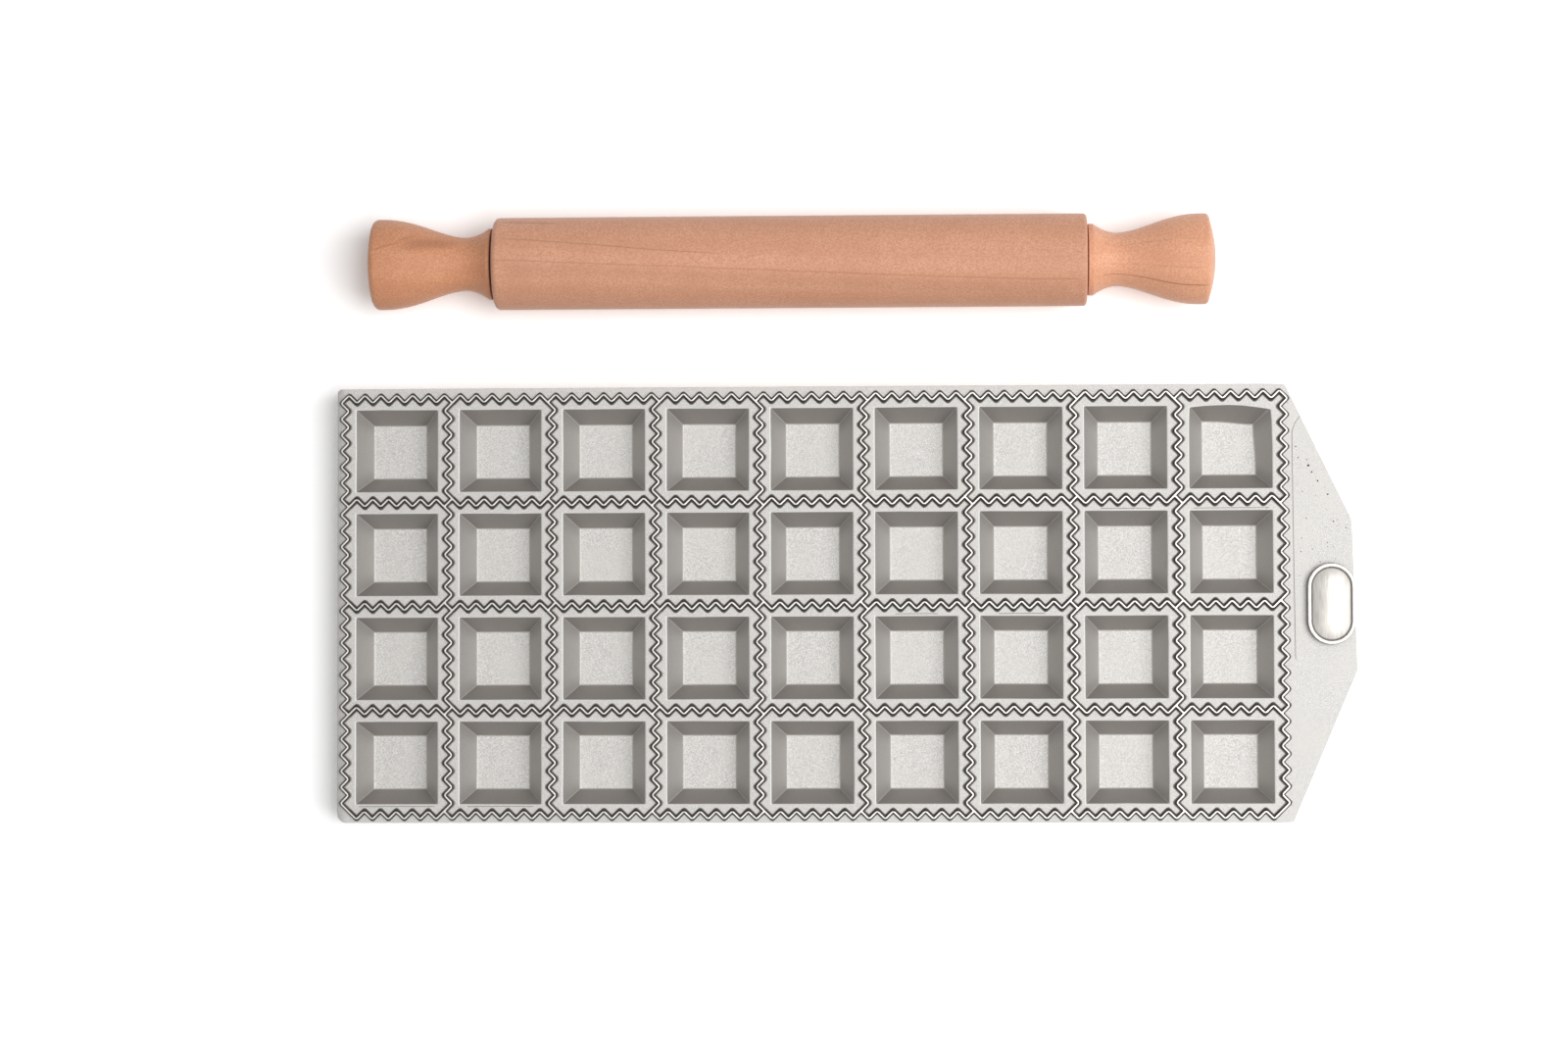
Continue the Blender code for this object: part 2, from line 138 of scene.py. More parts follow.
POCKET_TURN = 0.0015  # about how far a pocket is turned as cast, in radians
MOUTH_WAVE = 0.00005
MOUTH_WAVE_REACH = 0.006
MOUTH_WAVE_PLACE = 0.009  # how far from a side's middle it may be
WARPED_POCKET = COLUMNS * ROWS - 1
APRON = 0.0004
SIDE_CUTS = 5
FLOOR_Z = LAND_Z - POCKET_DEPTH
BUMP_Z = 0.0046
BUMP_EDGE = 0.0006
SKIRT_Z = 0.001
SKIRT_EDGE = 0.0003
GROOVE_BANK = 0.35  # a groove's bank, as a share of its width
WITNESS_WIDTH = 0.0002
WITNESS_DEPTH = 0.00018
WITNESS_FROM_MOUTH = 0.00066
WITNESS_MARKS = (  # column, row, behind or in front of the pocket, and share of its width
    (8, 2, 1, 0.9),
    (7, 2, 1, 0.6),
    (5, 1, 1, 0.5),
    (6, 1, 1, 0.55),
    (0, 0, -1, 0.9),
    (1, 0, -1, 0.8),
)
WITNESS_WANDER = (0.00003, 0.00002, -0.00003)
TAB_LINE_WIDTH = 0.00022
TAB_LINE_DEPTH = 0.00012
TAB_LINE_START = (0.0049, 0.0572)  # across the tab from the ridges, and along it from its middle
TAB_LINE_CURVE = ((-0.00125, -0.0017), (-0.0009, -0.0021), (-0.00015, -0.0012))
TAB_LINE_REST = ((0.0001, -0.0168), (0.0002, -0.0246), (0.0003, -0.0275))
TAB_SLANT = 1.95  # how fast the tab's sides close in
TAB_FRONT = -0.0585
TAB_BACK = 0.0605
PIT_SEED = 23
PIT_ACROSS = (0.004, 0.0195)
PIT_ALONG = (-0.028, 0.056, 0.03)  # the least, the most and the likeliest
PIT_FROM_LINE = 0.0033  # across the tab, and farther where the line curves away
LINE_CURVES_AT = 0.05
LINE_CURVES_BY = 0.6
PIT_SIDES = 7
PIT_BANK = 0.3  # as a share of the pit's radius
PIT_DEPTH = 2.0  # the same
PIT_SPACING = 0.0008
SMALL_PIT = (0.0001, 0.0002)  # its least and greatest radius
TAB_PITS = 30
LARGE_PITS = (  # across the tab from the ridges, along it from its middle, and radius
    (0.0037, 0.048, 0.00024),
    (0.0044, 0.0446, 0.00024),
    (0.0075, 0.0422, 0.0004),
    (0.0085, 0.0402, 0.0003),
    (0.0103, 0.0375, 0.0003),
    (0.0133, 0.0334, 0.0003),
    (0.015, 0.0251, 0.00025),
    (0.0068, 0.0261, 0.0002),
    (0.0051, 0.0159, 0.0002),
)
FILL_SCALE = 1000.0  # the fill tool is coarse, so the land is enlarged for it
FILL_TURN = 0.3  # and turned and a little uneven, because it loses points that lie in one line
FILL_JITTER = 0.000003
FILL_SEED = 3

# Plaque and feet
PLAQUE_SIDES = 64
PLAQUE_STANDS = 0.0003
PLAQUE_EDGE = 0.00022
PLAQUE_RIM = 0.00115
PLAQUE_SINK = 0.0005
PLAQUE_CROWN = 0.0004
CROWN_RINGS = 8
PEG_SIDES = 24
PEG_RADIUS = 0.001
PEG_SPACING = 0.013
FOOT_SIDES = 48
FOOT_RADIUS = 0.006
FOOT_TIP_RADIUS = 0.0052
FOOT_EDGE = 0.0006

# Turned wood
TURN_STEPS = 96
ROUND_STEPS = 5
COVE_STEPS = 12
SWELL_STEPS = 18
CROWN_STEPS = 8
BARREL_EDGE_LEFT = 0.0018
BARREL_EDGE_RIGHT = 0.0011
HANDLE_RADIUS = 0.01395
NECK_RADIUS = 0.0082
NECK_FROM_COLLAR = 0.0075
BELLY_FROM_END = 0.0048
COLLAR_RADIUS = 0.011
COLLAR_LEFT = 0.001
COLLAR_RIGHT = 0.0015
COLLAR_EDGE = 0.0002
END_EDGE_LEFT = 0.002
END_EDGE_RIGHT = 0.0013
END_CROWN_LEFT = 0.0015
END_CROWN_RIGHT = 0.0021
END_SHORT_LEFT = 0.0006  # the left handle ends this far inside its solid, as the photo shows it
SWELL_BIAS = 0.85
AXLE_RADIUS = 0.003
AXLE_SEAT = 0.0243
SEAT_RADIUS = 0.0063
SEAT_DEPTH = 0.0126
CLEARANCE = 0.0003
RING_PITCH = 0.0075
RING_LEAN = 0.3
RING_WANDER = 0.004
STREAK_WANDER = 0.003

# Where the casting's looks change
WALL_FOOT = (FLOOR_Z + 0.00005, FLOOR_Z + 0.0007)
WALL_TOP = (LAND_Z - 0.0003, LAND_Z - 0.00003)
MOUTH_HIGHLIGHT_FOOT = (LAND_Z - 0.00026, LAND_Z - 0.0001)
MOUTH_HIGHLIGHT_TOP = (LAND_Z - 0.00002, LAND_Z - 0.00001)
FLANK_FOOT = (LAND_Z + 0.00001, LAND_Z + 0.00022)
FLANK_TOP = (TOP_Z - 0.00012, TOP_Z - 0.00004)
FLANK_SHADE_RISE = (LAND_Z + 0.0002, TOP_Z - 0.0005)
CREST_RISE = (TOP_Z - 0.00007, TOP_Z - 0.00003)
MARGIN_FADE = (GRID.x - HALF.x - 0.0024, GRID.x - HALF.x + 0.0008)
MARGIN_RISE = (LAND_Z - 0.0003, LAND_Z - 0.0001)
FOLD_FADE = (0.00004, 0.00022)  # away from the fold between two walls

# Colours
SKIN_DARK = (0.55, 0.54, 0.525, 1)
SKIN_LIGHT = (0.91, 0.895, 0.875, 1)
SKIN_CLOUD = (0.76, 0.745, 0.715, 1)
SKIN_CALM = (0.7, 0.69, 0.67, 1)
# Painted shade on the pocket walls, lighter or darker by the way each wall faces the lamp, then
# painted shade in their corners and a painted highlight along their folds
LEFT_WALL_SHADE = (0.75, 0.735, 0.725, 1)
RIGHT_WALL_SHADE = (0.86, 0.845, 0.83, 1)
END_WALL_SHADE = (0.62, 0.595, 0.575, 1)
WALL_CORNER_SHADE = (0.42, 0.4, 0.385, 1)
WALL_FOLD_HIGHLIGHT = (1.0, 0.98, 0.96, 1)
# A painted highlight on the pockets' rounded mouth edges
MOUTH_HIGHLIGHT = (1.0, 0.985, 0.96, 1)
# Painted shade on the ridges' flanks, darker towards the crest, and darker still on the ridges
# between rows, whose hollows face away from the lamp
FLANK_SHADE_FOOT = (0.56, 0.525, 0.495, 1)
FLANK_SHADE_TOP = (0.115, 0.1, 0.09, 1)
FLANK_SHADE_IN_ROWS = (0.06, 0.052, 0.045, 1)
# Painted shade along the plate's left margin, the side away from the lamp
LEFT_MARGIN_SHADE = (0.3, 0.285, 0.27, 1)
# Painted shade in the hollows of the scribed lines and pits
HOLLOW_SHADE_DARK = (0.13, 0.115, 0.1, 1)
CREST_BARE = (0.86, 0.85, 0.83, 1)
NICKEL_DARK = (0.35, 0.332, 0.308, 1)
NICKEL_LIGHT = (0.47, 0.452, 0.426, 1)
# Painted shade in the crease round the plaque's field
NICKEL_CREASE_SHADE = (0.07, 0.06, 0.053, 1)
RUBBER_DARK = (0.018, 0.018, 0.019, 1)
RUBBER_LIGHT = (0.035, 0.034, 0.034, 1)
STEEL = (0.55, 0.55, 0.56, 1)
NYLON_DARK = (0.7, 0.68, 0.62, 1)
NYLON_LIGHT = (0.78, 0.77, 0.72, 1)
BARREL_LIGHT = (0.75, 0.4, 0.265, 1)
BARREL_DARK = (0.55, 0.255, 0.15, 1)
LEFT_HANDLE_LIGHT = (0.72, 0.355, 0.2, 1)
LEFT_HANDLE_DARK = (0.52, 0.215, 0.11, 1)
# The right handle's beech has its own tone and is also made lighter, as painted light from the
# lamp's side
RIGHT_HANDLE_PALE_LIT = (0.88, 0.47, 0.3, 1)
RIGHT_HANDLE_DARK_LIT = (0.65, 0.295, 0.168, 1)
FLOOR_WHITE = (0.85, 0.85, 0.85, 1)
FLOOR_EXTRA = (0.45, 0.45, 0.45, 1)
ROOM_GREY = (0.4, 0.4, 0.4, 1)

# Light
FLOOR_SIZE = 8.0
LAMP_SIZE = 1.2
LAMP_ENERGY = 20.0
LAMP_PLACE = (0.7, -0.08, 1.3)


# Modelling helpers
def only(piece):
    """Make one object the active and only selected one."""
    bpy.ops.object.select_all(action="DESELECT")
    piece.select_set(True)
    bpy.context.view_layer.objects.active = piece


def edit(piece):
    only(piece)
    bpy.ops.object.mode_set(mode="EDIT")


def finish_edit():
    bpy.ops.object.mode_set(mode="OBJECT")


def pick(kind, test):
    """In edit mode, select only the vertices, edges or faces that pass a test."""
    bpy.ops.mesh.select_mode(type=kind)
    bpy.ops.mesh.select_all(action="DESELECT")
    mesh = bpy.context.object.data
    model = bmesh.from_edit_mesh(mesh)
    parts = {"VERT": model.verts, "EDGE": model.edges, "FACE": model.faces}[kind]
    for part in parts:
        if test(part):
            part.select_set(True)
    model.select_flush_mode()
    bmesh.update_edit_mesh(mesh)


def pick_all():
    bpy.ops.mesh.select_all(action="SELECT")


def round_edges(test, radius, segments=3):
    """In edit mode, round the edges that pass a test."""
    pick("EDGE", test)
    bpy.ops.mesh.bevel(offset=radius, segments=segments, affect="EDGES", clamp_overlap=True)


def face_out():
    """In edit mode, turn all faces to the outside."""
    pick_all()
    bpy.ops.mesh.normals_make_consistent(inside=False)


def drop_loose():
    """In edit mode, remove edges and vertices without a face."""
    pick_all()
    bpy.ops.mesh.delete_loose(use_verts=True, use_edges=True, use_faces=False)


def extrude(x, y, z):
    bpy.ops.mesh.extrude_region_move(TRANSFORM_OT_translate={"value": (x, y, z)})


def at_height(edge, z):
    return all(abs(vert.co.z - z) < NEAR for vert in edge.verts)


def middle_of(edge):
    return (edge.verts[0].co + edge.verts[1].co) / 2


def is_open(edge):
    return len(edge.link_faces) == 1


def is_sharp(edge):
    return edge.calc_face_angle(0.0) > SHARP


def duplicate(piece, name):
    """A copy with its own mesh."""
    made = piece.copy()
    made.data = piece.data.copy()
    made.name = made.data.name = name
    bpy.context.scene.collection.objects.link(made)
    return made


def joined(pieces, name):
    bpy.ops.object.select_all(action="DESELECT")
    for piece in pieces:
        piece.select_set(True)
    bpy.context.view_layer.objects.active = pieces[0]
    bpy.ops.object.join()
    pieces[0].name = pieces[0].data.name = name
    return pieces[0]


def settle(piece):
    """Put a finished piece's place, turn and size into its mesh."""
    only(piece)
    bpy.ops.object.transform_apply(location=True, rotation=True, scale=True)


def shade(piece, degrees):
    only(piece)
    bpy.ops.object.shade_smooth_by_angle(angle=math.radians(degrees))


# Casting: ridges
def ridge_lattice():
    """A lattice of squares turned by 45 degrees, whose sides are the runs of the zigzags."""
    bpy.ops.mesh.primitive_grid_add(
        x_subdivisions=LATTICE_COUNT,
        y_subdivisions=LATTICE_COUNT,
        size=LATTICE_COUNT * RUN * math.sqrt(2),
        location=GRID + Vector((0.0, RUN / 2, TOP_Z)),
        rotation=(0.0, 0.0, math.pi / 4),
    )
    sheet = bpy.context.object
    sheet.name = "casting"
    settle(sheet)
    edit(sheet)
    reach = HALF + Vector((LATTICE_REACH, LATTICE_REACH, 0.0))
    pick("VERT", lambda v: any(abs(v.co[i] - GRID[i]) > reach[i] for i in (0, 1)))
    bpy.ops.mesh.delete(type="VERT")
    drop_loose()
    return sheet


def pocket_centres():
    for row in range(ROWS):
        for column in range(COLUMNS):
            yield GRID - HALF + Vector((column + 0.5, row + 0.5, 0.0)) * PITCH


def in_cell(place, centre):
    return all(abs(place[i] - centre[i]) < PITCH / 2 for i in (0, 1))


def cells_from_lattice():
    """Dissolve the lattice into one face for each cell, which leaves the zigzags between them."""
    for centre in pocket_centres():
        pick("FACE", lambda f: len(f.verts) == 4 and in_cell(f.calc_center_median(), centre))
        bpy.ops.mesh.dissolve_faces(use_verts=False)


def surround_cells():
    """Add two faces outside the cells, parted at a recessed bend on the left and on the right."""
    far = FIRST_SURROUND
    level = GRID.y + RUN / 2
    low = GRID.y - HALF.y - far
    high = GRID.y + HALF.y + far
    left = GRID.x - HALF.x + RUN / 2
    right = GRID.x + HALF.x - RUN / 2
    for x, way in ((left, -far), (right, far)):
        pick("VERT", lambda v: (v.co - Vector((x, level, TOP_Z))).length < NEAR)
        extrude(way, 0.0, 0.0)
    for end in (high, low):
        pick("VERT", lambda v: (v.co - Vector((left - far, level, TOP_Z))).length < NEAR)
        extrude(0.0, end - level, 0.0)
        extrude(right - left + 2 * far, 0.0, 0.0)
        extrude(0.0, level - end, 0.0)
    pick_all()
    bpy.ops.mesh.remove_doubles(threshold=NEAR)
    for side in (1, -1):

        def on_side(edge):
            place = middle_of(edge)
            cut = abs(place.y - level) < NEAR and not left < place.x < right
            return len(edge.link_faces) < 2 and (cut or (place.y - level) * side > NEAR)

        pick("EDGE", on_side)
        bpy.ops.mesh.edge_face_add()


def draw_in_surround():
    """Bring the surround's outline in to just outside the ridges' foot, and cut its corners."""
    margin = RUN / 2 + LAST_SURROUND
    for axis in (0, 1):
        for way in (-1, 1):
            edge_place = GRID[axis] + way * (HALF[axis] + margin)
            pick("VERT", lambda v: v.is_boundary and (v.co[axis] - GRID[axis]) * way > HALF[axis])
            size = [1.0, 1.0, 1.0]
            size[axis] = 0.0
            centre = [0.0, 0.0, 0.0]
            centre[axis] = edge_place
            bpy.ops.transform.resize(value=size, center_override=centre)
    pick("VERT", lambda v: v.is_boundary and all(abs(v.co[i] - GRID[i]) > HALF[i] for i in (0, 1)))
    bpy.ops.mesh.bevel(offset=SURROUND_CORNER, segments=1, affect="VERTICES")


def sink_lands():
    """Inset each land from the ridges' middle lines, first the crest and then the flank."""

    def is_land_of(face, cells):
        corners = len(face.verts)
        return corners > FEWEST_CELL_CORNERS and (corners < MOST_CELL_CORNERS) == cells

    for cells, flank_reach in ((True, FLANK_REACH), (False, OUTER_FLANK_REACH)):
        pick("FACE", lambda f: is_land_of(f, cells))
        for reach, drop in ((CREST_HALF, 0.0), (flank_reach, RIDGE_HEIGHT)):
            bpy.ops.mesh.inset(
                thickness=reach,
                depth=-drop,
                use_individual=cells,
                use_boundary=cells,
                use_even_offset=True,
            )


def join_crests():
    """Dissolve the ridges' middle lines, so that a crest is one face from bend to bend."""

    def is_middle_line(edge):
        level = all(face.normal.z > LEVEL for face in edge.link_faces)
        return level and at_height(edge, TOP_Z) and edge.calc_length() > RUN

    pick("EDGE", is_middle_line)
    bpy.ops.mesh.dissolve_edges(use_verts=True)


def is_slope(edge):
    """Whether an edge runs down a flank, from the crest to the land, at a corner."""
    drop = abs(edge.verts[0].co.z - edge.verts[1].co.z) > RIDGE_HEIGHT / 2
    return drop and is_sharp(edge)


def is_land(face):
    return face.normal.z > LEVEL and abs(face.calc_center_median().z - LAND_Z) < NEAR


def soften_ridges():
    """Round both sides of each bend, then the crest's edges."""
    for outer, radius in ((True, BEND_ROUND), (False, BEND_HOLLOW)):
        mesh = bmesh.from_edit_mesh(bpy.context.object.data)
        bends = {
            loop.vert
            for face in mesh.faces
            if is_land(face)
            for loop in face.loops
            if loop.is_convex != outer
        }
        round_edges(lambda e: is_slope(e) and any(v in bends for v in e.verts), radius, BEND_STEPS)
    round_edges(lambda e: at_height(e, TOP_Z) and is_sharp(e), CREST_EDGE, segments=2)


def ridges():
    sheet = ridge_lattice()
    cells_from_lattice()
    surround_cells()
    sink_lands()
    join_crests()
    soften_ridges()
    draw_in_surround()
    pick("FACE", lambda f: is_land(f) and not any(edge.is_boundary for edge in f.edges))
    bpy.ops.mesh.delete(type="ONLY_FACE")
    finish_edit()
    return sheet


# Casting: skirt and underside
def near_plaque(place):
    return (Vector(place) - PLAQUE_MIDDLE).to_2d().length < PLAQUE_LENGTH / 2


def underside():
    """The solid's skirt and lower faces, with a rounded rim."""
    piece = bpy.data.objects.new("underside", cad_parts["tablet_casting"].data.copy())
    bpy.context.scene.collection.objects.link(piece)
    only(piece)
    bpy.ops.mesh.customdata_custom_splitnormals_clear()
    edit(piece)
    pick_all()
    bpy.ops.mesh.remove_doubles(threshold=NEAR / 2)
    pick("FACE", lambda f: f.normal.z > UPWARD)
    bpy.ops.mesh.delete(type="FACE")
    pick_all()
    bpy.ops.mesh.dissolve_limited(angle_limit=FLAT)
    pick("EDGE", lambda e: is_open(e) and at_height(e, LAND_Z) and not near_plaque(middle_of(e)))
    bpy.ops.mesh.edge_face_add()
    round_edges(lambda e: at_height(e, LAND_Z) and any(map(is_land, e.link_faces)), RIM_EDGE)
    pick("FACE", is_land)
    bpy.ops.mesh.delete(type="ONLY_FACE")
    soften_below()
    finish_edit()
    return piece


def soften_below():
    """Round the pocket bumps' edges and the skirt's lower edges."""
    round_edges(lambda e: at_height(e, BUMP_Z), BUMP_EDGE)
    round_edges(lambda e: at_height(e, SKIRT_Z), SKIRT_EDGE)


# Casting: pockets
def drag(place, shift, reach):
    """Pull the nearest vertices by a shift, and what lies round them less and less."""
    mesh = bmesh.from_edit_mesh(bpy.context.object.data)
    nearest = min((vert.co - place).length for vert in mesh.verts)
    pick("VERT", lambda v: (v.co - place).length < nearest + NEAR)
    bpy.ops.transform.translate(
        value=shift,
        use_proportional_edit=True,
        proportional_edit_falloff="SMOOTH",
        proportional_size=reach,
    )


def pocket_form():
    """One pocket with an apron of land round its mouth."""
    bpy.ops.mesh.primitive_plane_add(size=POCKET_MOUTH + 2 * APRON, location=(0.0, 0.0, LAND_Z))
    piece = bpy.context.object
    piece.name = "pocket_form"
    settle(piece)
    edit(piece)
    pick_all()
    bpy.ops.mesh.inset(thickness=APRON, depth=0.0)
    bpy.ops.mesh.inset(thickness=(POCKET_MOUTH - POCKET_FLOOR) / 2, depth=-POCKET_DEPTH)

    def is_side(edge):
        level = any(abs(edge.verts[0].co[i] - edge.verts[1].co[i]) < NEAR for i in (0, 1))
        return level and edge.calc_length() > POCKET_FLOOR / 2

    pick("EDGE", is_side)
    bpy.ops.mesh.subdivide(number_cuts=SIDE_CUTS)

    def runs_along(edge, z, width):
        ends = (max(abs(vert.co.x), abs(vert.co.y)) for vert in edge.verts)
        return at_height(edge, z) and all(abs(end - width / 2) < NEAR for end in ends)

    def is_fold(edge):
        corner = all(abs(abs(vert.co.x) - abs(vert.co.y)) < NEAR for vert in edge.verts)
        drop = abs(edge.verts[0].co.z - edge.verts[1].co.z) > NEAR
        along_mouth = runs_along(edge, LAND_Z, POCKET_MOUTH)
        along_floor = runs_along(edge, FLOOR_Z, POCKET_FLOOR)
        return along_mouth or along_floor or corner and drop

    round_edges(is_fold, POCKET_EDGE)
    finish_edit()
    return piece


def pockets():
    """Every pocket, each a little off as cast, and the one at the tab's back corner warped."""
    form = pocket_form()
    chance = random.Random(POCKET_SEED)
    made = []
    for index, centre in enumerate(pocket_centres()):
        piece = duplicate(form, f"pocket_{index}")
        edit(piece)
        for turn in range(4):
            side = Matrix.Rotation(turn * math.pi / 2, 3, "Z")
            along = chance.uniform(-MOUTH_WAVE_PLACE, MOUTH_WAVE_PLACE)
            place = side @ Vector((along, POCKET_MOUTH / 2, LAND_Z))
            shift = side @ Vector((0.0, chance.gauss(0.0, MOUTH_WAVE), 0.0))
            drag(place, shift, MOUTH_WAVE_REACH)
        if index == WARPED_POCKET:
            warp_pocket()
        finish_edit()
        piece.rotation_euler.z = chance.gauss(0.0, POCKET_TURN)
        piece.location = Vector((centre.x, centre.y, 0.0))
        settle(piece)
        made.append(piece)
    bpy.data.objects.remove(form)
    return made


def warp_pocket():
    """The last pocket cooled unevenly: its back corners are drawn in, and its floor with them."""
    mouth = POCKET_MOUTH / 2
    floor = POCKET_FLOOR / 2
    drag(Vector((floor, floor, FLOOR_Z)), shift=(-0.0007, -0.0009, 0.0), reach=0.013)
    drag(Vector((mouth, mouth, LAND_Z)), shift=(0.0, -0.0007, 0.0), reach=0.009)
    drag(Vector((mouth, mouth, LAND_Z)), shift=(-0.0004, -0.0004, 0.0), reach=0.004)
    drag(Vector((-mouth, mouth, LAND_Z)), shift=(0.0002, -0.0005, 0.0), reach=0.006)
    drag(Vector((0.0, mouth, LAND_Z)), shift=(0.0, 0.0002, 0.0), reach=0.009)


# Casting: marks in the land
def mark_hollows(piece):
    """Mark what lies below the land, where shade is painted in the marks' hollows."""
    hollow_shade = piece.data.attributes.new("hollow_shade", "FLOAT", "POINT")
    for vert, mark in zip(piece.data.vertices, hollow_shade.data):
        mark.value = float(vert.co.z < LAND_Z - NEAR)


def groove(name, start, steps, width, depth):
    """A hairline groove in the land, from a start through steps, each a move in X and Y."""
    bpy.ops.mesh.primitive_plane_add(size=width, location=(*start, LAND_Z))
    piece = bpy.context.object
    piece.name = name
    settle(piece)
    edit(piece)
    first = Vector((*steps[0], 0.0))
    way = Vector((1.0, 0.0, 0.0)) if abs(first.x) > abs(first.y) else Vector((0.0, 1.0, 0.0))
    way *= 1 if way.dot(first) > 0 else -1
    centre = Vector((*start, LAND_Z))
    pick("EDGE", lambda e: (middle_of(e) - centre).dot(way) > width / 4)
    for x, y in steps:
        extrude(x, y, 0.0)
    face_out()
    mesh = bmesh.from_edit_mesh(piece.data)
    mesh.faces.ensure_lookup_table()
    if mesh.faces[0].normal.z < 0:
        bpy.ops.mesh.flip_normals()
    bpy.ops.mesh.inset(thickness=width * GROOVE_BANK, depth=-depth, use_boundary=True)
    finish_edit()
    mark_hollows(piece)
    return piece


def pit(name, place, radius):
    """A small pore in the cast skin."""
    bpy.ops.mesh.primitive_circle_add(
        vertices=PIT_SIDES, radius=radius, fill_type="NGON", location=(*place, LAND_Z)
    )
    piece = bpy.context.object
    piece.name = name
    settle(piece)
    edit(piece)
    pick_all()
    bpy.ops.mesh.inset(thickness=radius * PIT_BANK, depth=-radius * PIT_DEPTH)
    finish_edit()
    mark_hollows(piece)
    return piece


def tab_line():
    """The scribed line between tab and plate, from the tab's back edge to past the plaque."""
    across, along = TAB_LINE_START
    start = (GRID.x + HALF.x + across, GRID.y + along)
    steps = TAB_LINE_CURVE + TAB_LINE_REST
    return groove("tab_line", start, steps, TAB_LINE_WIDTH, TAB_LINE_DEPTH)


def witness_lines():
    """Hairlines beside some pockets, where the pattern was mended."""
    made = []
    for column, row, side, share in WITNESS_MARKS:
        centre = GRID - HALF + Vector((column + 0.5, row + 0.5, 0.0)) * PITCH
        length = POCKET_MOUTH * share
        y = centre.y + side * (POCKET_MOUTH / 2 + WITNESS_FROM_MOUTH)
        steps = [(length / len(WITNESS_WANDER), wander) for wander in WITNESS_WANDER]
        start = (centre.x - length / 2, y)
        made.append(groove(f"witness_{column}_{row}", start, steps, WITNESS_WIDTH, WITNESS_DEPTH))
    return made


def on_tab(place):
    """Whether a place lies on the tab, clear of its edges, its line and the plaque."""
    across = place.x - GRID.x - HALF.x
    along = place.y - GRID.y
    line = PIT_FROM_LINE + max(0.0, along - LINE_CURVES_AT) * LINE_CURVES_BY
    inside = TAB_FRONT + across * TAB_SLANT < along < TAB_BACK - across * TAB_SLANT
    return inside and across > line and not near_plaque(place)


def tab_pits():
    """Pores scattered over the tab, most of them behind the plaque, the large ones first."""
    chance = random.Random(PIT_SEED)
    made = []
    places = []
    for x, y, radius in LARGE_PITS:
        places.append(Vector((GRID.x + HALF.x + x, GRID.y + y, LAND_Z)))
        made.append(pit(f"pit_{len(made)}", places[-1].xy, radius))
    while len(made) < TAB_PITS:
        x = GRID.x + HALF.x + chance.uniform(*PIT_ACROSS)
        y = GRID.y + chance.triangular(*PIT_ALONG)
        place = Vector((x, y, LAND_Z))
        if on_tab(place) and all((place - other).length > PIT_SPACING for other in places):
            places.append(place)
            radius = chance.uniform(*SMALL_PIT)
            made.append(pit(f"pit_{len(made)}", (x, y), radius))
    return made


def move_mesh(piece, matrix):
    piece.matrix_world = matrix
    settle(piece)


def fill_lands(piece):
    """Close the flat land between each foot of the ridges, the pockets, the rim and the marks."""
    enlarged = Matrix.Rotation(FILL_TURN, 4, "Z") @ Matrix.Scale(FILL_SCALE, 4)
    back = enlarged.inverted()
    move_mesh(piece, enlarged)
    edit(piece)

    def is_gap(edge):
        heights = (abs(vert.co.z / FILL_SCALE - LAND_Z) for vert in edge.verts)
        return is_open(edge) and all(height < NEAR for height in heights)

    pick("EDGE", is_gap)
    bpy.ops.transform.vertex_random(offset=FILL_JITTER * FILL_SCALE, seed=FILL_SEED)
    bpy.ops.transform.resize(value=(1.0, 1.0, 0.0), center_override=(0.0, 0.0, LAND_Z * FILL_SCALE))
    for centre in pocket_centres():
        pick("EDGE", lambda e: is_gap(e) and in_cell(back @ middle_of(e), centre))
        bpy.ops.mesh.fill(use_beauty=False)
    pick("EDGE", is_gap)
    bpy.ops.mesh.fill(use_beauty=False)
    drop_loose()
    face_out()
    finish_edit()
    move_mesh(piece, back)


def even_normals(piece):
    """Shade large faces flat and their rounded edges smooth."""
    modifier = piece.modifiers.new("even_normals", "WEIGHTED_NORMAL")
    modifier.keep_sharp = True
    only(piece)
    bpy.ops.object.modifier_apply(modifier=modifier.name)


def casting():
    marks = [tab_line(), *witness_lines(), *tab_pits()]
    piece = joined([ridges(), underside(), *pockets(), *marks], "casting")
    fill_lands(piece)
    shade(piece, SMOOTH_ANGLE)
    even_normals(piece)
    return piece


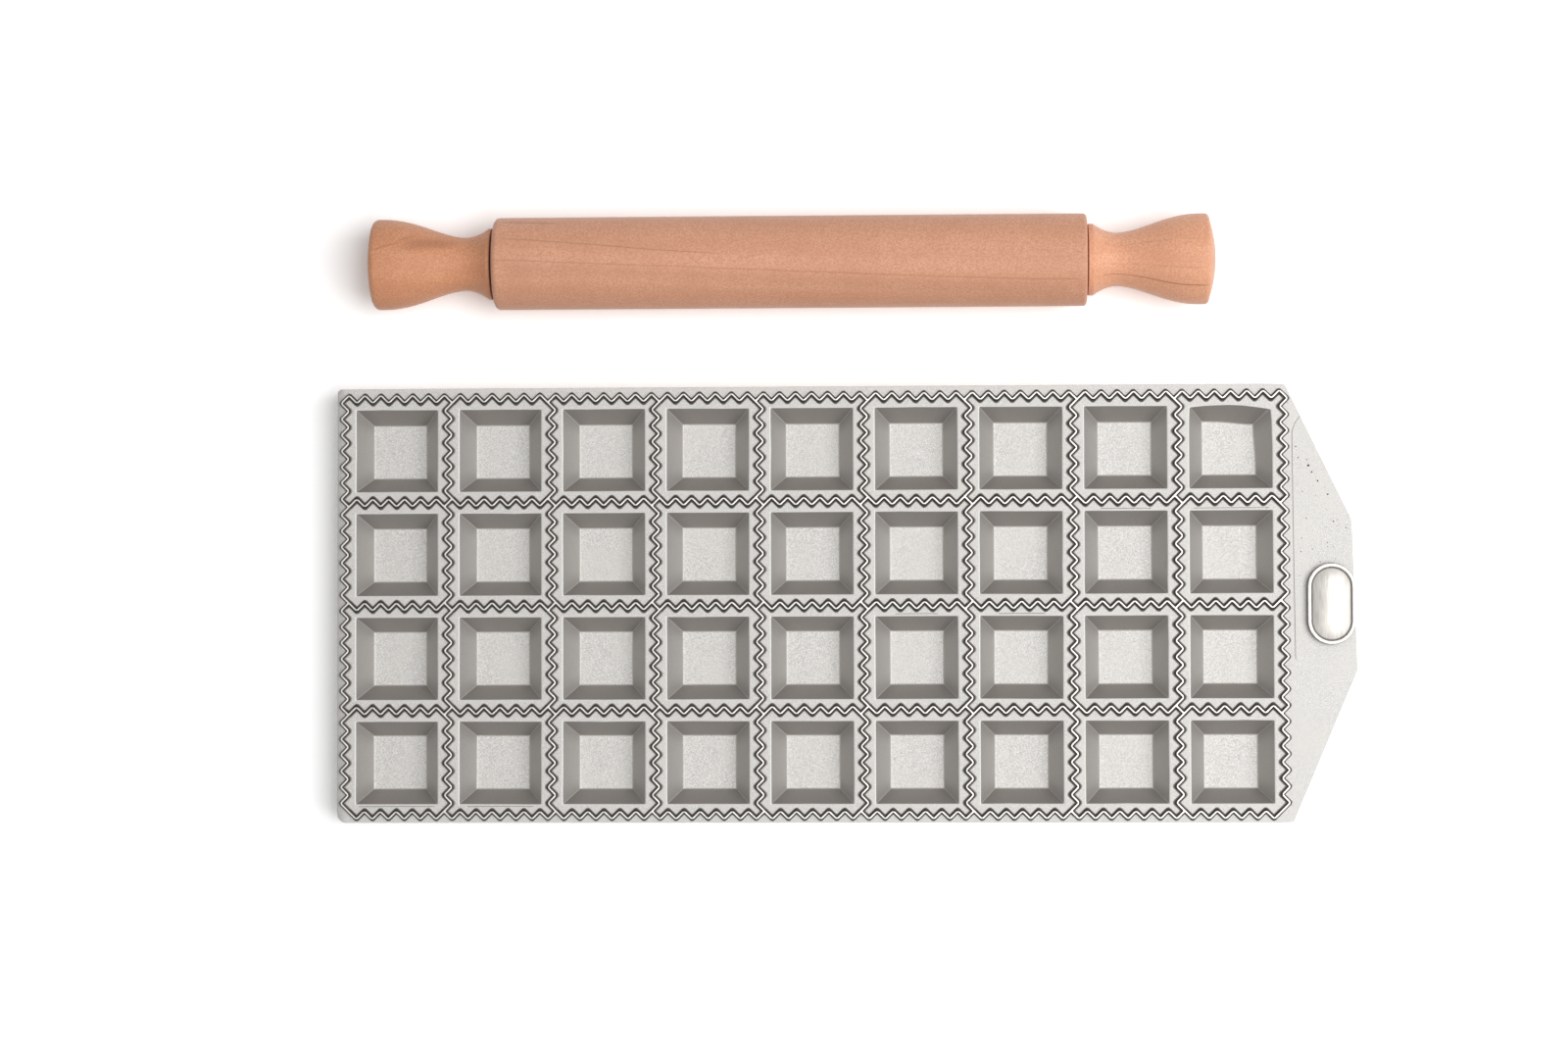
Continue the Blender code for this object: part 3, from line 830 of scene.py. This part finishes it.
# Plaque and feet
def plaque():
    """A plain oval plate with a raised rim and a crowned field, on two pegs."""
    bpy.ops.mesh.primitive_circle_add(
        vertices=PLAQUE_SIDES,
        radius=PLAQUE_WIDTH / 2,
        fill_type="NGON",
        location=(PLAQUE_MIDDLE.x, PLAQUE_MIDDLE.y, LAND_Z + PLAQUE_STANDS),
        rotation=(0.0, 0.0, math.pi / PLAQUE_SIDES),
    )
    piece = bpy.context.object
    settle(piece)
    edit(piece)
    for side in (1, -1):
        pick("VERT", lambda v: (v.co.y - PLAQUE_MIDDLE.y) * side > 0)
        bpy.ops.transform.translate(value=(0.0, side * (PLAQUE_LENGTH - PLAQUE_WIDTH) / 2, 0.0))
    pick_all()
    extrude(0.0, 0.0, PLAQUE_TOP - LAND_Z - PLAQUE_STANDS)
    bpy.ops.mesh.inset(thickness=PLAQUE_RIM, depth=0.0)
    bpy.ops.mesh.inset(thickness=PLAQUE_SINK / 2, depth=-PLAQUE_SINK)
    reach = PLAQUE_WIDTH / 2 - PLAQUE_RIM - PLAQUE_SINK / 2
    for ring in range(CROWN_RINGS - 1):
        before, after = (1 - step / CROWN_RINGS for step in (ring, ring + 1))
        rise = PLAQUE_CROWN * (before**2 - after**2)
        bpy.ops.mesh.inset(thickness=reach / CROWN_RINGS, depth=rise)
    face_out()
    round_edges(lambda e: at_height(e, PLAQUE_TOP) and is_sharp(e), PLAQUE_EDGE)
    finish_edit()
    piece = joined([piece, *pegs()], "plaque")
    shade(piece, SMOOTH_ANGLE)
    even_normals(piece)
    return piece


def pegs():
    """Two pegs that hold the plate through the tab."""
    top = LAND_Z + PLAQUE_STANDS + PLAQUE_EDGE
    made = []
    for side in (1, -1):
        y = PLAQUE_MIDDLE.y + side * PEG_SPACING / 2
        place = (PLAQUE_MIDDLE.x, y, (top + PLAQUE_BOTTOM) / 2)
        bpy.ops.mesh.primitive_cylinder_add(
            vertices=PEG_SIDES, radius=PEG_RADIUS, depth=top - PLAQUE_BOTTOM, location=place
        )
        peg = bpy.context.object
        settle(peg)
        made.append(peg)
    return made


def feet():
    """Four alike rubber buttons, each under a corner pocket."""
    middle = (0.0, 0.0, FOOT_TOP / 2)
    bpy.ops.mesh.primitive_cylinder_add(
        vertices=FOOT_SIDES, radius=FOOT_RADIUS, depth=FOOT_TOP, location=middle
    )
    form = bpy.context.object
    settle(form)
    edit(form)
    pick("FACE", lambda f: f.normal.z < -LEVEL)
    shrink = FOOT_TIP_RADIUS / FOOT_RADIUS
    bpy.ops.transform.resize(value=(shrink, shrink, 1.0), center_override=(0.0, 0.0, 0.0))
    round_edges(lambda e: at_height(e, 0.0), FOOT_EDGE, segments=4)
    finish_edit()
    shade(form, SMOOTH_ANGLE)
    made = []
    for name in ("foot_front_left", "foot_front_right", "foot_back_left", "foot_back_right"):
        piece = duplicate(form, f"rubber_{name}")
        middle = solid_middle(name)
        piece.location = (middle.x, middle.y, 0.0)
        settle(piece)
        made.append((piece, name))
    bpy.data.objects.remove(form)
    return made


# Turned wood
def turned(name, profile):
    """Spin a profile of (place along X, radius) about the pin's axis."""
    bpy.ops.mesh.primitive_plane_add(size=CLEARANCE, location=(0.0, 0.0, 0.0))
    piece = bpy.context.object
    piece.name = piece.data.name = name
    edit(piece)
    bpy.ops.mesh.select_mode(type="VERT")
    pick_all()
    bpy.ops.mesh.merge(type="CENTER")
    x, radius = profile[0]
    bpy.ops.transform.translate(value=(x, AXIS.y, AXIS.z + radius))
    for next_x, next_radius in profile[1:]:
        extrude(next_x - x, 0.0, next_radius - radius)
        x, radius = next_x, next_radius
    pick_all()
    bpy.ops.mesh.spin(steps=TURN_STEPS, angle=math.tau, center=AXIS, axis=(1.0, 0.0, 0.0))
    pick_all()
    bpy.ops.mesh.remove_doubles(threshold=NEAR / 4)
    face_out()
    finish_edit()
    shade(piece, TURNED_ANGLE)
    even_normals(piece)
    return piece


def rounded(x, radius, edge, way, steps=ROUND_STEPS):
    """Profile points round an outer edge, from the end face at x to the side."""
    points = []
    for step in range(steps + 1):
        turn = math.pi / 2 * step / steps
        in_from_end = edge * (1 - math.cos(turn))
        in_from_side = edge * (1 - math.sin(turn))
        points.append((x + way * in_from_end, radius - in_from_side))
    return points


def barrel():
    """A plain cylinder with a bore for the axle and a wider seat for a bush at each end."""
    left = [(BARREL_LEFT, SEAT_RADIUS)]
    left += rounded(BARREL_LEFT, BARREL_RADIUS, BARREL_EDGE_LEFT, 1)
    right = [(BARREL_RIGHT, SEAT_RADIUS)]
    right += rounded(BARREL_RIGHT, BARREL_RADIUS, BARREL_EDGE_RIGHT, -1)
    right.reverse()
    bore = AXLE_RADIUS + 2 * CLEARANCE
    inside = [
        (BARREL_RIGHT - SEAT_DEPTH, SEAT_RADIUS),
        (BARREL_RIGHT - SEAT_DEPTH, bore),
        (BARREL_LEFT + SEAT_DEPTH, bore),
        (BARREL_LEFT + SEAT_DEPTH, SEAT_RADIUS),
    ]
    return turned("beech_barrel", left + right + inside + left[:1])


def handle(name, solid, side, collar, end_edge, crown, short):
    """Collar, cove to the neck, swell to the belly and a crowned end."""
    low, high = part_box(solid)
    length = high[0] - low[0] - short
    start = low[0] if side > 0 else high[0]
    hole = AXLE_RADIUS + CLEARANCE
    outline = [(AXLE_SEAT, 0.0), (AXLE_SEAT, hole), (0.0, hole)]
    outline += rounded(0.0, COLLAR_RADIUS, COLLAR_EDGE, 1, steps=2)
    for step in range(COVE_STEPS + 1):
        t = step / COVE_STEPS
        radius = NECK_RADIUS + (COLLAR_RADIUS - NECK_RADIUS) * (1 - t) ** 2
        outline.append((collar + NECK_FROM_COLLAR * t, radius))
    swell = length - BELLY_FROM_END - collar - NECK_FROM_COLLAR
    for step in range(1, SWELL_STEPS + 1):
        t = step / SWELL_STEPS
        rise = math.sin(math.pi / 2 * t**SWELL_BIAS) ** 2
        radius = NECK_RADIUS + (HANDLE_RADIUS - NECK_RADIUS) * rise
        outline.append((collar + NECK_FROM_COLLAR + swell * t, radius))
    outline += reversed(rounded(length - crown, HANDLE_RADIUS, end_edge, -1))
    rim = HANDLE_RADIUS - end_edge
    for step in range(1, CROWN_STEPS + 1):
        t = step / CROWN_STEPS
        outline.append((length - crown * (1 - t) ** 2, rim * (1 - t)))
    return turned(name, [(start + side * x, radius) for x, radius in outline])


# Materials
def material(name):
    made = bpy.data.materials.new(name)
    made.use_nodes = True
    made.node_tree.nodes.clear()
    return made, made.node_tree


def node(tree, kind, inputs=None, **settings):
    """Add a node, set it up, and link or set its inputs."""
    made = tree.nodes.new("ShaderNode" + kind)
    for name, value in settings.items():
        setattr(made, name, value)
    for key, value in (inputs or {}).items():
        if isinstance(value, bpy.types.NodeSocket):
            tree.links.new(value, made.inputs[key])
        else:
            made.inputs[key].default_value = value
    return made


def surface(tree, inputs):
    shader = node(tree, "BsdfPrincipled", inputs)
    node(tree, "OutputMaterial", {"Surface": shader.outputs[0]})


def place_in(tree):
    """Where a point lies in its object."""
    return node(tree, "TexCoord").outputs["Object"]


def axes_of(tree, place):
    """The X, Y and Z of a place."""
    return node(tree, "SeparateXYZ", {0: place}).outputs


def maths(tree, operation, *values):
    return node(tree, "Math", dict(enumerate(values)), operation=operation).outputs[0]


def product(tree, value, *factors):
    for factor in factors:
        value = maths(tree, "MULTIPLY", value, factor)
    return value


def spread(tree, value, low, high, to_low=0.0, to_high=1.0):
    """Map a range of a value smoothly onto another range."""
    values = {0: value, 1: low, 2: high, 3: to_low, 4: to_high}
    return node(tree, "MapRange", values, interpolation_type="SMOOTHSTEP").outputs[0]


def between(tree, value, rise, fall):
    """Rises to one over one range of a value, and falls again over another."""
    return product(tree, spread(tree, value, *rise), spread(tree, value, *fall, 1.0, 0.0))


def within(tree, value, middle, half):
    """One where a value lies within a half width of a middle."""
    away = maths(tree, "ABSOLUTE", maths(tree, "SUBTRACT", value, middle))
    return maths(tree, "LESS_THAN", away, half)


def mixed(tree, share, first, second, blend="MIX"):
    settings = {"data_type": "RGBA", "blend_type": blend}
    return node(tree, "Mix", {0: share, 6: first, 7: second}, **settings).outputs[2]


def noise(tree, place, scale, detail=2.0, roughness=0.5):
    values = {"Vector": place, "Scale": scale, "Detail": detail, "Roughness": roughness}
    return node(tree, "TexNoise", values).outputs[0]


def long_noise(tree, place, along, around, detail=2.0, roughness=0.5):
    """Noise with one scale along X and another round it."""
    stretched = node(tree, "Mapping", {"Vector": place, "Scale": (along, around, around)})
    return noise(tree, stretched.outputs[0], 1.0, detail, roughness)


def bump(tree, height, distance, strength=1.0, normal=None):
    values = {"Height": height, "Distance": distance, "Strength": strength}
    if normal is not None:
        values["Normal"] = normal
    return node(tree, "Bump", values).outputs[0]


def cast_skin(tree, place, grain):
    """Pale metal with a fine grain and cloudy patches."""
    clouds = noise(tree, place, scale=60.0, detail=4.0, roughness=0.6)
    skin = mixed(tree, spread(tree, grain, 0.28, 0.72), SKIN_DARK, SKIN_LIGHT)
    return mixed(tree, spread(tree, clouds, 0.35, 0.7, to_high=0.5), skin, SKIN_CLOUD)


def painted_wall_shade(tree, right_wall, end_wall, away_across, away_up):
    """Painted light and shade on each pocket wall: a tone by the way the wall faces the lamp,
    painted shade towards the corners and a painted highlight along their folds.
    """
    tone = mixed(tree, right_wall, LEFT_WALL_SHADE, RIGHT_WALL_SHADE)
    tone = mixed(tree, end_wall, tone, END_WALL_SHADE)
    nearer = maths(tree, "MINIMUM", away_up, away_across)
    farther = maths(tree, "MAXIMUM", away_up, away_across)
    corner_shade = spread(tree, maths(tree, "DIVIDE", nearer, farther), 0.45, 1.0, to_high=0.3)
    tone = mixed(tree, corner_shade, tone, WALL_CORNER_SHADE)
    off_fold = maths(tree, "ABSOLUTE", maths(tree, "SUBTRACT", away_up, away_across))
    fold_highlight = spread(tree, off_fold, *FOLD_FADE, to_low=0.5, to_high=0.0)
    return mixed(tree, fold_highlight, tone, WALL_FOLD_HIGHLIGHT)


def cast_aluminium():
    """Cast skin with painted shade on the pocket walls, the ridges' flanks, the left margin and the
    marks' hollows, painted highlights at the pockets' mouths and folds, and bare crests.
    """
    made, tree = material("cast_aluminium")
    place = place_in(tree)
    x, y, z = axes_of(tree, place)
    grain = noise(tree, place, scale=4200.0, roughness=0.6)
    skin = cast_skin(tree, place, grain)
    inside = product(
        tree, within(tree, x, GRID.x, HALF.x - RUN), within(tree, y, GRID.y, HALF.y - RUN)
    )
    across = maths(tree, "WRAP", maths(tree, "SUBTRACT", x, GRID.x), PITCH / 2, -PITCH / 2)
    up = maths(tree, "WRAP", maths(tree, "SUBTRACT", y, GRID.y), PITCH, 0.0)
    up = maths(tree, "SUBTRACT", up, PITCH / 2)
    away_across = maths(tree, "ABSOLUTE", across)
    away_up = maths(tree, "ABSOLUTE", up)
    right_wall = maths(tree, "GREATER_THAN", across, 0.0)
    end_wall = maths(tree, "GREATER_THAN", away_up, away_across)
    # painted light and shade on the pocket walls, by the way each wall faces the lamp
    tone = painted_wall_shade(tree, right_wall, end_wall, away_across, away_up)
    calm = mixed(tree, 0.65, skin, SKIN_CALM)
    wall = product(tree, between(tree, z, WALL_FOOT, WALL_TOP), inside)
    colour = mixed(tree, wall, skin, mixed(tree, 1.0, calm, tone, "MULTIPLY"))
    # a painted highlight on the pockets' rounded mouth edges
    rim = product(tree, between(tree, z, MOUTH_HIGHLIGHT_FOOT, MOUTH_HIGHLIGHT_TOP), inside, 0.45)
    colour = mixed(tree, rim, colour, MOUTH_HIGHLIGHT)
    flank = between(tree, z, FLANK_FOOT, FLANK_TOP)
    # painted shade on the ridges' flanks, darker towards the crest and on the ridges between rows
    flank_shade = mixed(tree, spread(tree, z, *FLANK_SHADE_RISE), FLANK_SHADE_FOOT, FLANK_SHADE_TOP)
    flank_shade = mixed(tree, product(tree, end_wall, 0.55), flank_shade, FLANK_SHADE_IN_ROWS)
    colour = mixed(tree, flank, colour, mixed(tree, 1.0, skin, flank_shade, "MULTIPLY"))
    # painted shade along the plate's left margin, away from the lamp
    margin = spread(tree, x, *MARGIN_FADE, to_low=0.4, to_high=0.0)
    margin = product(tree, margin, spread(tree, z, *MARGIN_RISE))
    colour = mixed(tree, margin, colour, LEFT_MARGIN_SHADE)
    # painted shade in the hollows of the scribed lines and pits
    marked = node(tree, "Attribute", attribute_name="hollow_shade").outputs["Fac"]
    hollow_shade = spread(tree, marked, 0.0, 0.9, to_high=0.65)
    colour = mixed(tree, hollow_shade, colour, HOLLOW_SHADE_DARK)
    crest = spread(tree, z, *CREST_RISE)
    colour = mixed(tree, crest, colour, CREST_BARE)
    dull = maths(tree, "MAXIMUM", flank, hollow_shade)
    surface(
        tree,
        {
            "Base Color": colour,
            "Metallic": maths(tree, "SUBTRACT", 1.0, product(tree, dull, 0.4)),
            "Roughness": maths(tree, "SUBTRACT", 0.76, product(tree, crest, 0.3)),
            "Normal": bump(tree, grain, distance=0.00004, strength=0.6),
        },
    )
    return made


def polished_nickel():
    """Brushed bright metal, with painted shade in a line round the field inside the rim."""
    made, tree = material("polished_nickel")
    place = place_in(tree)
    z = axes_of(tree, place)[2]
    field_z = PLAQUE_TOP - PLAQUE_SINK
    ripple = noise(tree, place, scale=260.0, detail=1.0)
    brushing = long_noise(tree, place, along=5200.0, around=180.0, roughness=0.6)
    raised = spread(tree, z, field_z, PLAQUE_TOP - 0.00005)
    metal = mixed(tree, spread(tree, brushing, 0.3, 0.7), NICKEL_DARK, NICKEL_LIGHT)
    # painted shade in the crease where the field meets the rim
    line = spread(tree, z, field_z, field_z + 0.00006, to_low=0.75, to_high=0.0)
    metal = mixed(tree, line, metal, NICKEL_CREASE_SHADE)
    normal = bump(tree, ripple, distance=0.00012, strength=0.5)
    surface(
        tree,
        {
            "Base Color": metal,
            "Metallic": 0.72,
            "Roughness": maths(tree, "SUBTRACT", 0.48, product(tree, raised, 0.2)),
            "Normal": bump(tree, brushing, distance=0.00002, strength=0.5, normal=normal),
        },
    )
    return made


def rubber():
    made, tree = material("rubber_feet")
    grain = noise(tree, place_in(tree), scale=900.0, roughness=0.6)
    surface(
        tree,
        {
            "Base Color": mixed(tree, grain, RUBBER_DARK, RUBBER_LIGHT),
            "Roughness": 0.75,
            "Normal": bump(tree, grain, distance=0.00003, strength=0.5),
        },
    )
    return made


def axle_steel():
    made, tree = material("axle_steel")
    lines = long_noise(tree, place_in(tree), along=4000.0, around=60.0, roughness=0.6)
    roughness = spread(tree, lines, 0.3, 0.7, to_low=0.25, to_high=0.4)
    surface(tree, {"Base Color": STEEL, "Metallic": 1.0, "Roughness": roughness})
    return made


def bush_nylon():
    made, tree = material("bush_nylon")
    haze = noise(tree, place_in(tree), scale=300.0)
    surface(tree, {"Base Color": mixed(tree, haze, NYLON_DARK, NYLON_LIGHT), "Roughness": 0.45})
    return made


def streak(tree, x, y, start, end, width, fade):
    """A line in the wood, seen from above, from a start to an end, faded at both ends."""
    slope = (end[1] - start[1]) / (end[0] - start[0])
    line = maths(tree, "MULTIPLY_ADD", x, slope, start[1] - slope * start[0])
    away = maths(tree, "ABSOLUTE", maths(tree, "SUBTRACT", y, line))
    across = spread(tree, away, width * 0.15, width, to_low=1.0, to_high=0.0)
    low, high = sorted((start[0], end[0]))
    return product(tree, across, between(tree, x, (low, low + fade), (high - fade, high)))


def spread_round(tree, y, z, radius):
    """The Y that a point round the pin's axis would have at a given radius."""
    off = maths(tree, "SUBTRACT", y, AXIS.y)
    height = maths(tree, "SUBTRACT", z, AXIS.z)
    square = maths(tree, "MULTIPLY_ADD", off, off, product(tree, height, height))
    share = maths(tree, "DIVIDE", off, maths(tree, "SQRT", square))
    return maths(tree, "MULTIPLY_ADD", share, radius, AXIS.y)


def wood(name, light, dark, drift, ring_shift, radius, streaks):
    """Beech turned along X, whose grain drifts a little to the front."""
    made, tree = material(name)
    place = place_in(tree)
    x, y, z = axes_of(tree, place)
    wander = long_noise(tree, place, along=14.0, around=60.0)
    across = maths(tree, "MULTIPLY_ADD", x, drift, y)
    across = maths(tree, "ADD", across, product(tree, z, RING_LEAN))
    across = maths(tree, "MULTIPLY_ADD", wander, RING_WANDER, across)
    turns = maths(tree, "MULTIPLY_ADD", across, math.tau / RING_PITCH, ring_shift)
    rings = spread(tree, maths(tree, "SINE", turns), -1.0, 1.0)
    grain = node(tree, "CombineXYZ", {0: x, 1: across, 2: z}).outputs[0]
    fibres = long_noise(tree, grain, along=45.0, around=1500.0, detail=3.0, roughness=0.6)
    speckle = long_noise(tree, grain, along=1700.0, around=2100.0, roughness=0.7)
    cloud = long_noise(tree, place, along=70.0, around=60.0, detail=3.0, roughness=0.55)
    bands = long_noise(tree, place, along=110.0, around=9.0, detail=1.0)
    turning = long_noise(tree, place, along=2600.0, around=12.0, detail=1.0)
    colour = mixed(tree, product(tree, rings, 0.2), light, dark)
    for field, low, high, share in (
        (cloud, 0.3, 0.75, 0.3),
        (bands, 0.35, 0.7, 0.16),
        (fibres, 0.35, 0.75, 0.16),
        (speckle, 0.36, 0.64, 0.85),
    ):
        colour = mixed(tree, spread(tree, field, low, high, to_high=share), colour, dark)
    deep = tuple(channel * 0.55 for channel in dark[:3]) + (1.0,)
    around = spread_round(tree, y, z, radius)
    waved = maths(tree, "MULTIPLY_ADD", maths(tree, "SUBTRACT", wander, 0.5), STREAK_WANDER, around)
    for start, end, width, fade, strength in streaks:
        mark = streak(tree, x, waved, start, end, width, fade)
        colour = mixed(tree, product(tree, mark, strength), colour, deep)
    normal = bump(tree, turning, distance=0.00004, strength=0.35)
    surface(
        tree,
        {
            "Base Color": colour,
            "Roughness": spread(tree, fibres, 0.3, 0.7, to_low=0.5, to_high=0.62),
            "Specular IOR Level": 0.35,
            "Sheen Weight": 0.15,
            "Sheen Roughness": 0.4,
            "Normal": bump(tree, fibres, distance=0.00005, strength=0.5, normal=normal),
        },
    )
    return made


def barrel_streaks():
    """Long lines of the grain, each with its start and end, width, fade and strength."""
    back = AXIS.y + BARREL_RADIUS
    width = 2 * BARREL_RADIUS

    def at(along, across):
        return (BARREL_LEFT + along, back - across * width)

    return (
        (at(-0.001, 0.25), at(0.074, 0.47), 0.0003, 0.012, 0.4),
        (at(-0.001, 0.07), at(0.022, 0.1), 0.0004, 0.006, 0.4),
        (at(-0.001, 0.52), at(0.181, 0.76), 0.0003, 0.004, 0.35),
        (at(-0.001, 0.62), at(0.181, 0.86), 0.0026, 0.01, 0.12),
    )


def left_handle_streaks():
    """As on the barrel, but by how far from the collar's end and from the axis they run."""
    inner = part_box("pin_handle_left")[1][0]

    def at(along, across):
        return (inner - along, AXIS.y + across)

    return (
        (at(0.037, 0.0025), at(0.0265, 0.006), 0.0004, 0.003, 0.4),
        (at(0.0288, 0.0058), at(0.021, 0.0105), 0.0004, 0.003, 0.45),
        (at(0.03, 0.0036), at(0.008, 0.0102), 0.0036, 0.008, 0.42),
    )


def right_handle_streaks():
    """The same on the other side, with the crack line to the front."""
    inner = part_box("pin_handle_right")[0][0]

    def at(along, across):
        return (inner + along, AXIS.y + across)

    return (
        (at(0.002, -0.0084), at(0.0385, -0.0093), 0.00026, 0.006, 0.85),
        (at(0.001, -0.0036), at(0.0375, -0.0045), 0.0003, 0.006, 0.25),
        (at(0.006, 0.0058), at(0.0375, 0.0045), 0.0003, 0.006, 0.2),
    )


# Floor and light
def floor():
    """A white floor that looks lighter than the light it throws back."""
    made, tree = material("floor_white")
    plain = node(tree, "BsdfDiffuse", {"Color": FLOOR_WHITE})
    extra = node(tree, "BsdfDiffuse", {"Color": FLOOR_EXTRA})
    both = node(tree, "AddShader", {0: plain.outputs[0], 1: extra.outputs[0]})
    path = node(tree, "LightPath").outputs
    seen = maths(tree, "MAXIMUM", path["Is Camera Ray"], path["Is Glossy Ray"])
    seen = maths(tree, "MAXIMUM", seen, path["Is Transmission Ray"])
    chosen = node(tree, "MixShader", {0: seen, 1: plain.outputs[0], 2: both.outputs[0]})
    node(tree, "OutputMaterial", {"Surface": chosen.outputs[0]})
    bpy.ops.mesh.primitive_plane_add(size=FLOOR_SIZE, location=(0.0, 0.0, 0.0))
    piece = bpy.context.object
    piece.name = "floor"
    piece.data.materials.append(made)


def studio():
    """A plain pale room and one large soft lamp high on the right."""
    bpy.context.scene.view_settings.view_transform = "Standard"
    world = bpy.data.worlds.new("room")
    world.use_nodes = True
    world.node_tree.nodes["Background"].inputs[0].default_value = ROOM_GREY
    bpy.context.scene.world = world
    lamp = bpy.data.objects.new("key_lamp", bpy.data.lights.new("key_lamp", "AREA"))
    bpy.context.scene.collection.objects.link(lamp)
    lamp.data.shape = "SQUARE"
    lamp.data.size = LAMP_SIZE
    lamp.data.energy = LAMP_ENERGY
    lamp.location = LAMP_PLACE
    lamp.rotation_euler = (-lamp.location).to_track_quat("-Z", "Y").to_euler()


# Assembly
def place_piece(piece, finish, slot, body, *nodes):
    """Give a finished piece its material and body, and let it stand for its nodes. Its slot is not
    used.
    """
    piece.data.materials.clear()
    piece.data.materials.append(finish)
    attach(piece, body)
    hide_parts(*nodes)


def keep_solids(finish, *names):
    """Give solids that are shown as they are a material."""
    for name in names:
        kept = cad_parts[name]
        kept.data.materials.clear()
        kept.data.materials.append(finish)


def assemble_mould():
    place_piece(casting(), cast_aluminium(), "cast_aluminium", "mould", "tablet_casting")
    place_piece(plaque(), polished_nickel(), "polished_nickel", "mould", "plaque")
    black = rubber()
    for piece, name in feet():
        place_piece(piece, black, "rubber_feet", "mould", name)


def assemble_pin():
    beech = wood(
        "barrel_beech",
        BARREL_LIGHT,
        BARREL_DARK,
        drift=0.035,
        ring_shift=0.6,
        radius=BARREL_RADIUS,
        streaks=barrel_streaks(),
    )
    place_piece(barrel(), beech, "barrel_beech", "pin_roller", "pin_barrel")
    beech = wood(
        "handle_beech_left",
        LEFT_HANDLE_LIGHT,
        LEFT_HANDLE_DARK,
        drift=0.1,
        ring_shift=2.4,
        radius=HANDLE_RADIUS,
        streaks=left_handle_streaks(),
    )
    shape = (COLLAR_LEFT, END_EDGE_LEFT, END_CROWN_LEFT, END_SHORT_LEFT)
    left = handle("beech_handle_left", "pin_handle_left", -1, *shape)
    place_piece(left, beech, "handle_beech", "pin_handles", "pin_handle_left")
    # the right handle's colours are partly painted light from the lamp's side
    beech = wood(
        "handle_beech_right",
        RIGHT_HANDLE_PALE_LIT,
        RIGHT_HANDLE_DARK_LIT,
        drift=0.1,
        ring_shift=1.1,
        radius=HANDLE_RADIUS,
        streaks=right_handle_streaks(),
    )
    shape = (COLLAR_RIGHT, END_EDGE_RIGHT, END_CROWN_RIGHT, 0.0)
    right = handle("beech_handle_right", "pin_handle_right", 1, *shape)
    place_piece(right, beech, "handle_beech", "pin_handles", "pin_handle_right")
    keep_solids(axle_steel(), "pin_axle")
    keep_solids(bush_nylon(), "pin_bush_left", "pin_bush_right")


assemble_mould()
assemble_pin()
floor()
studio()
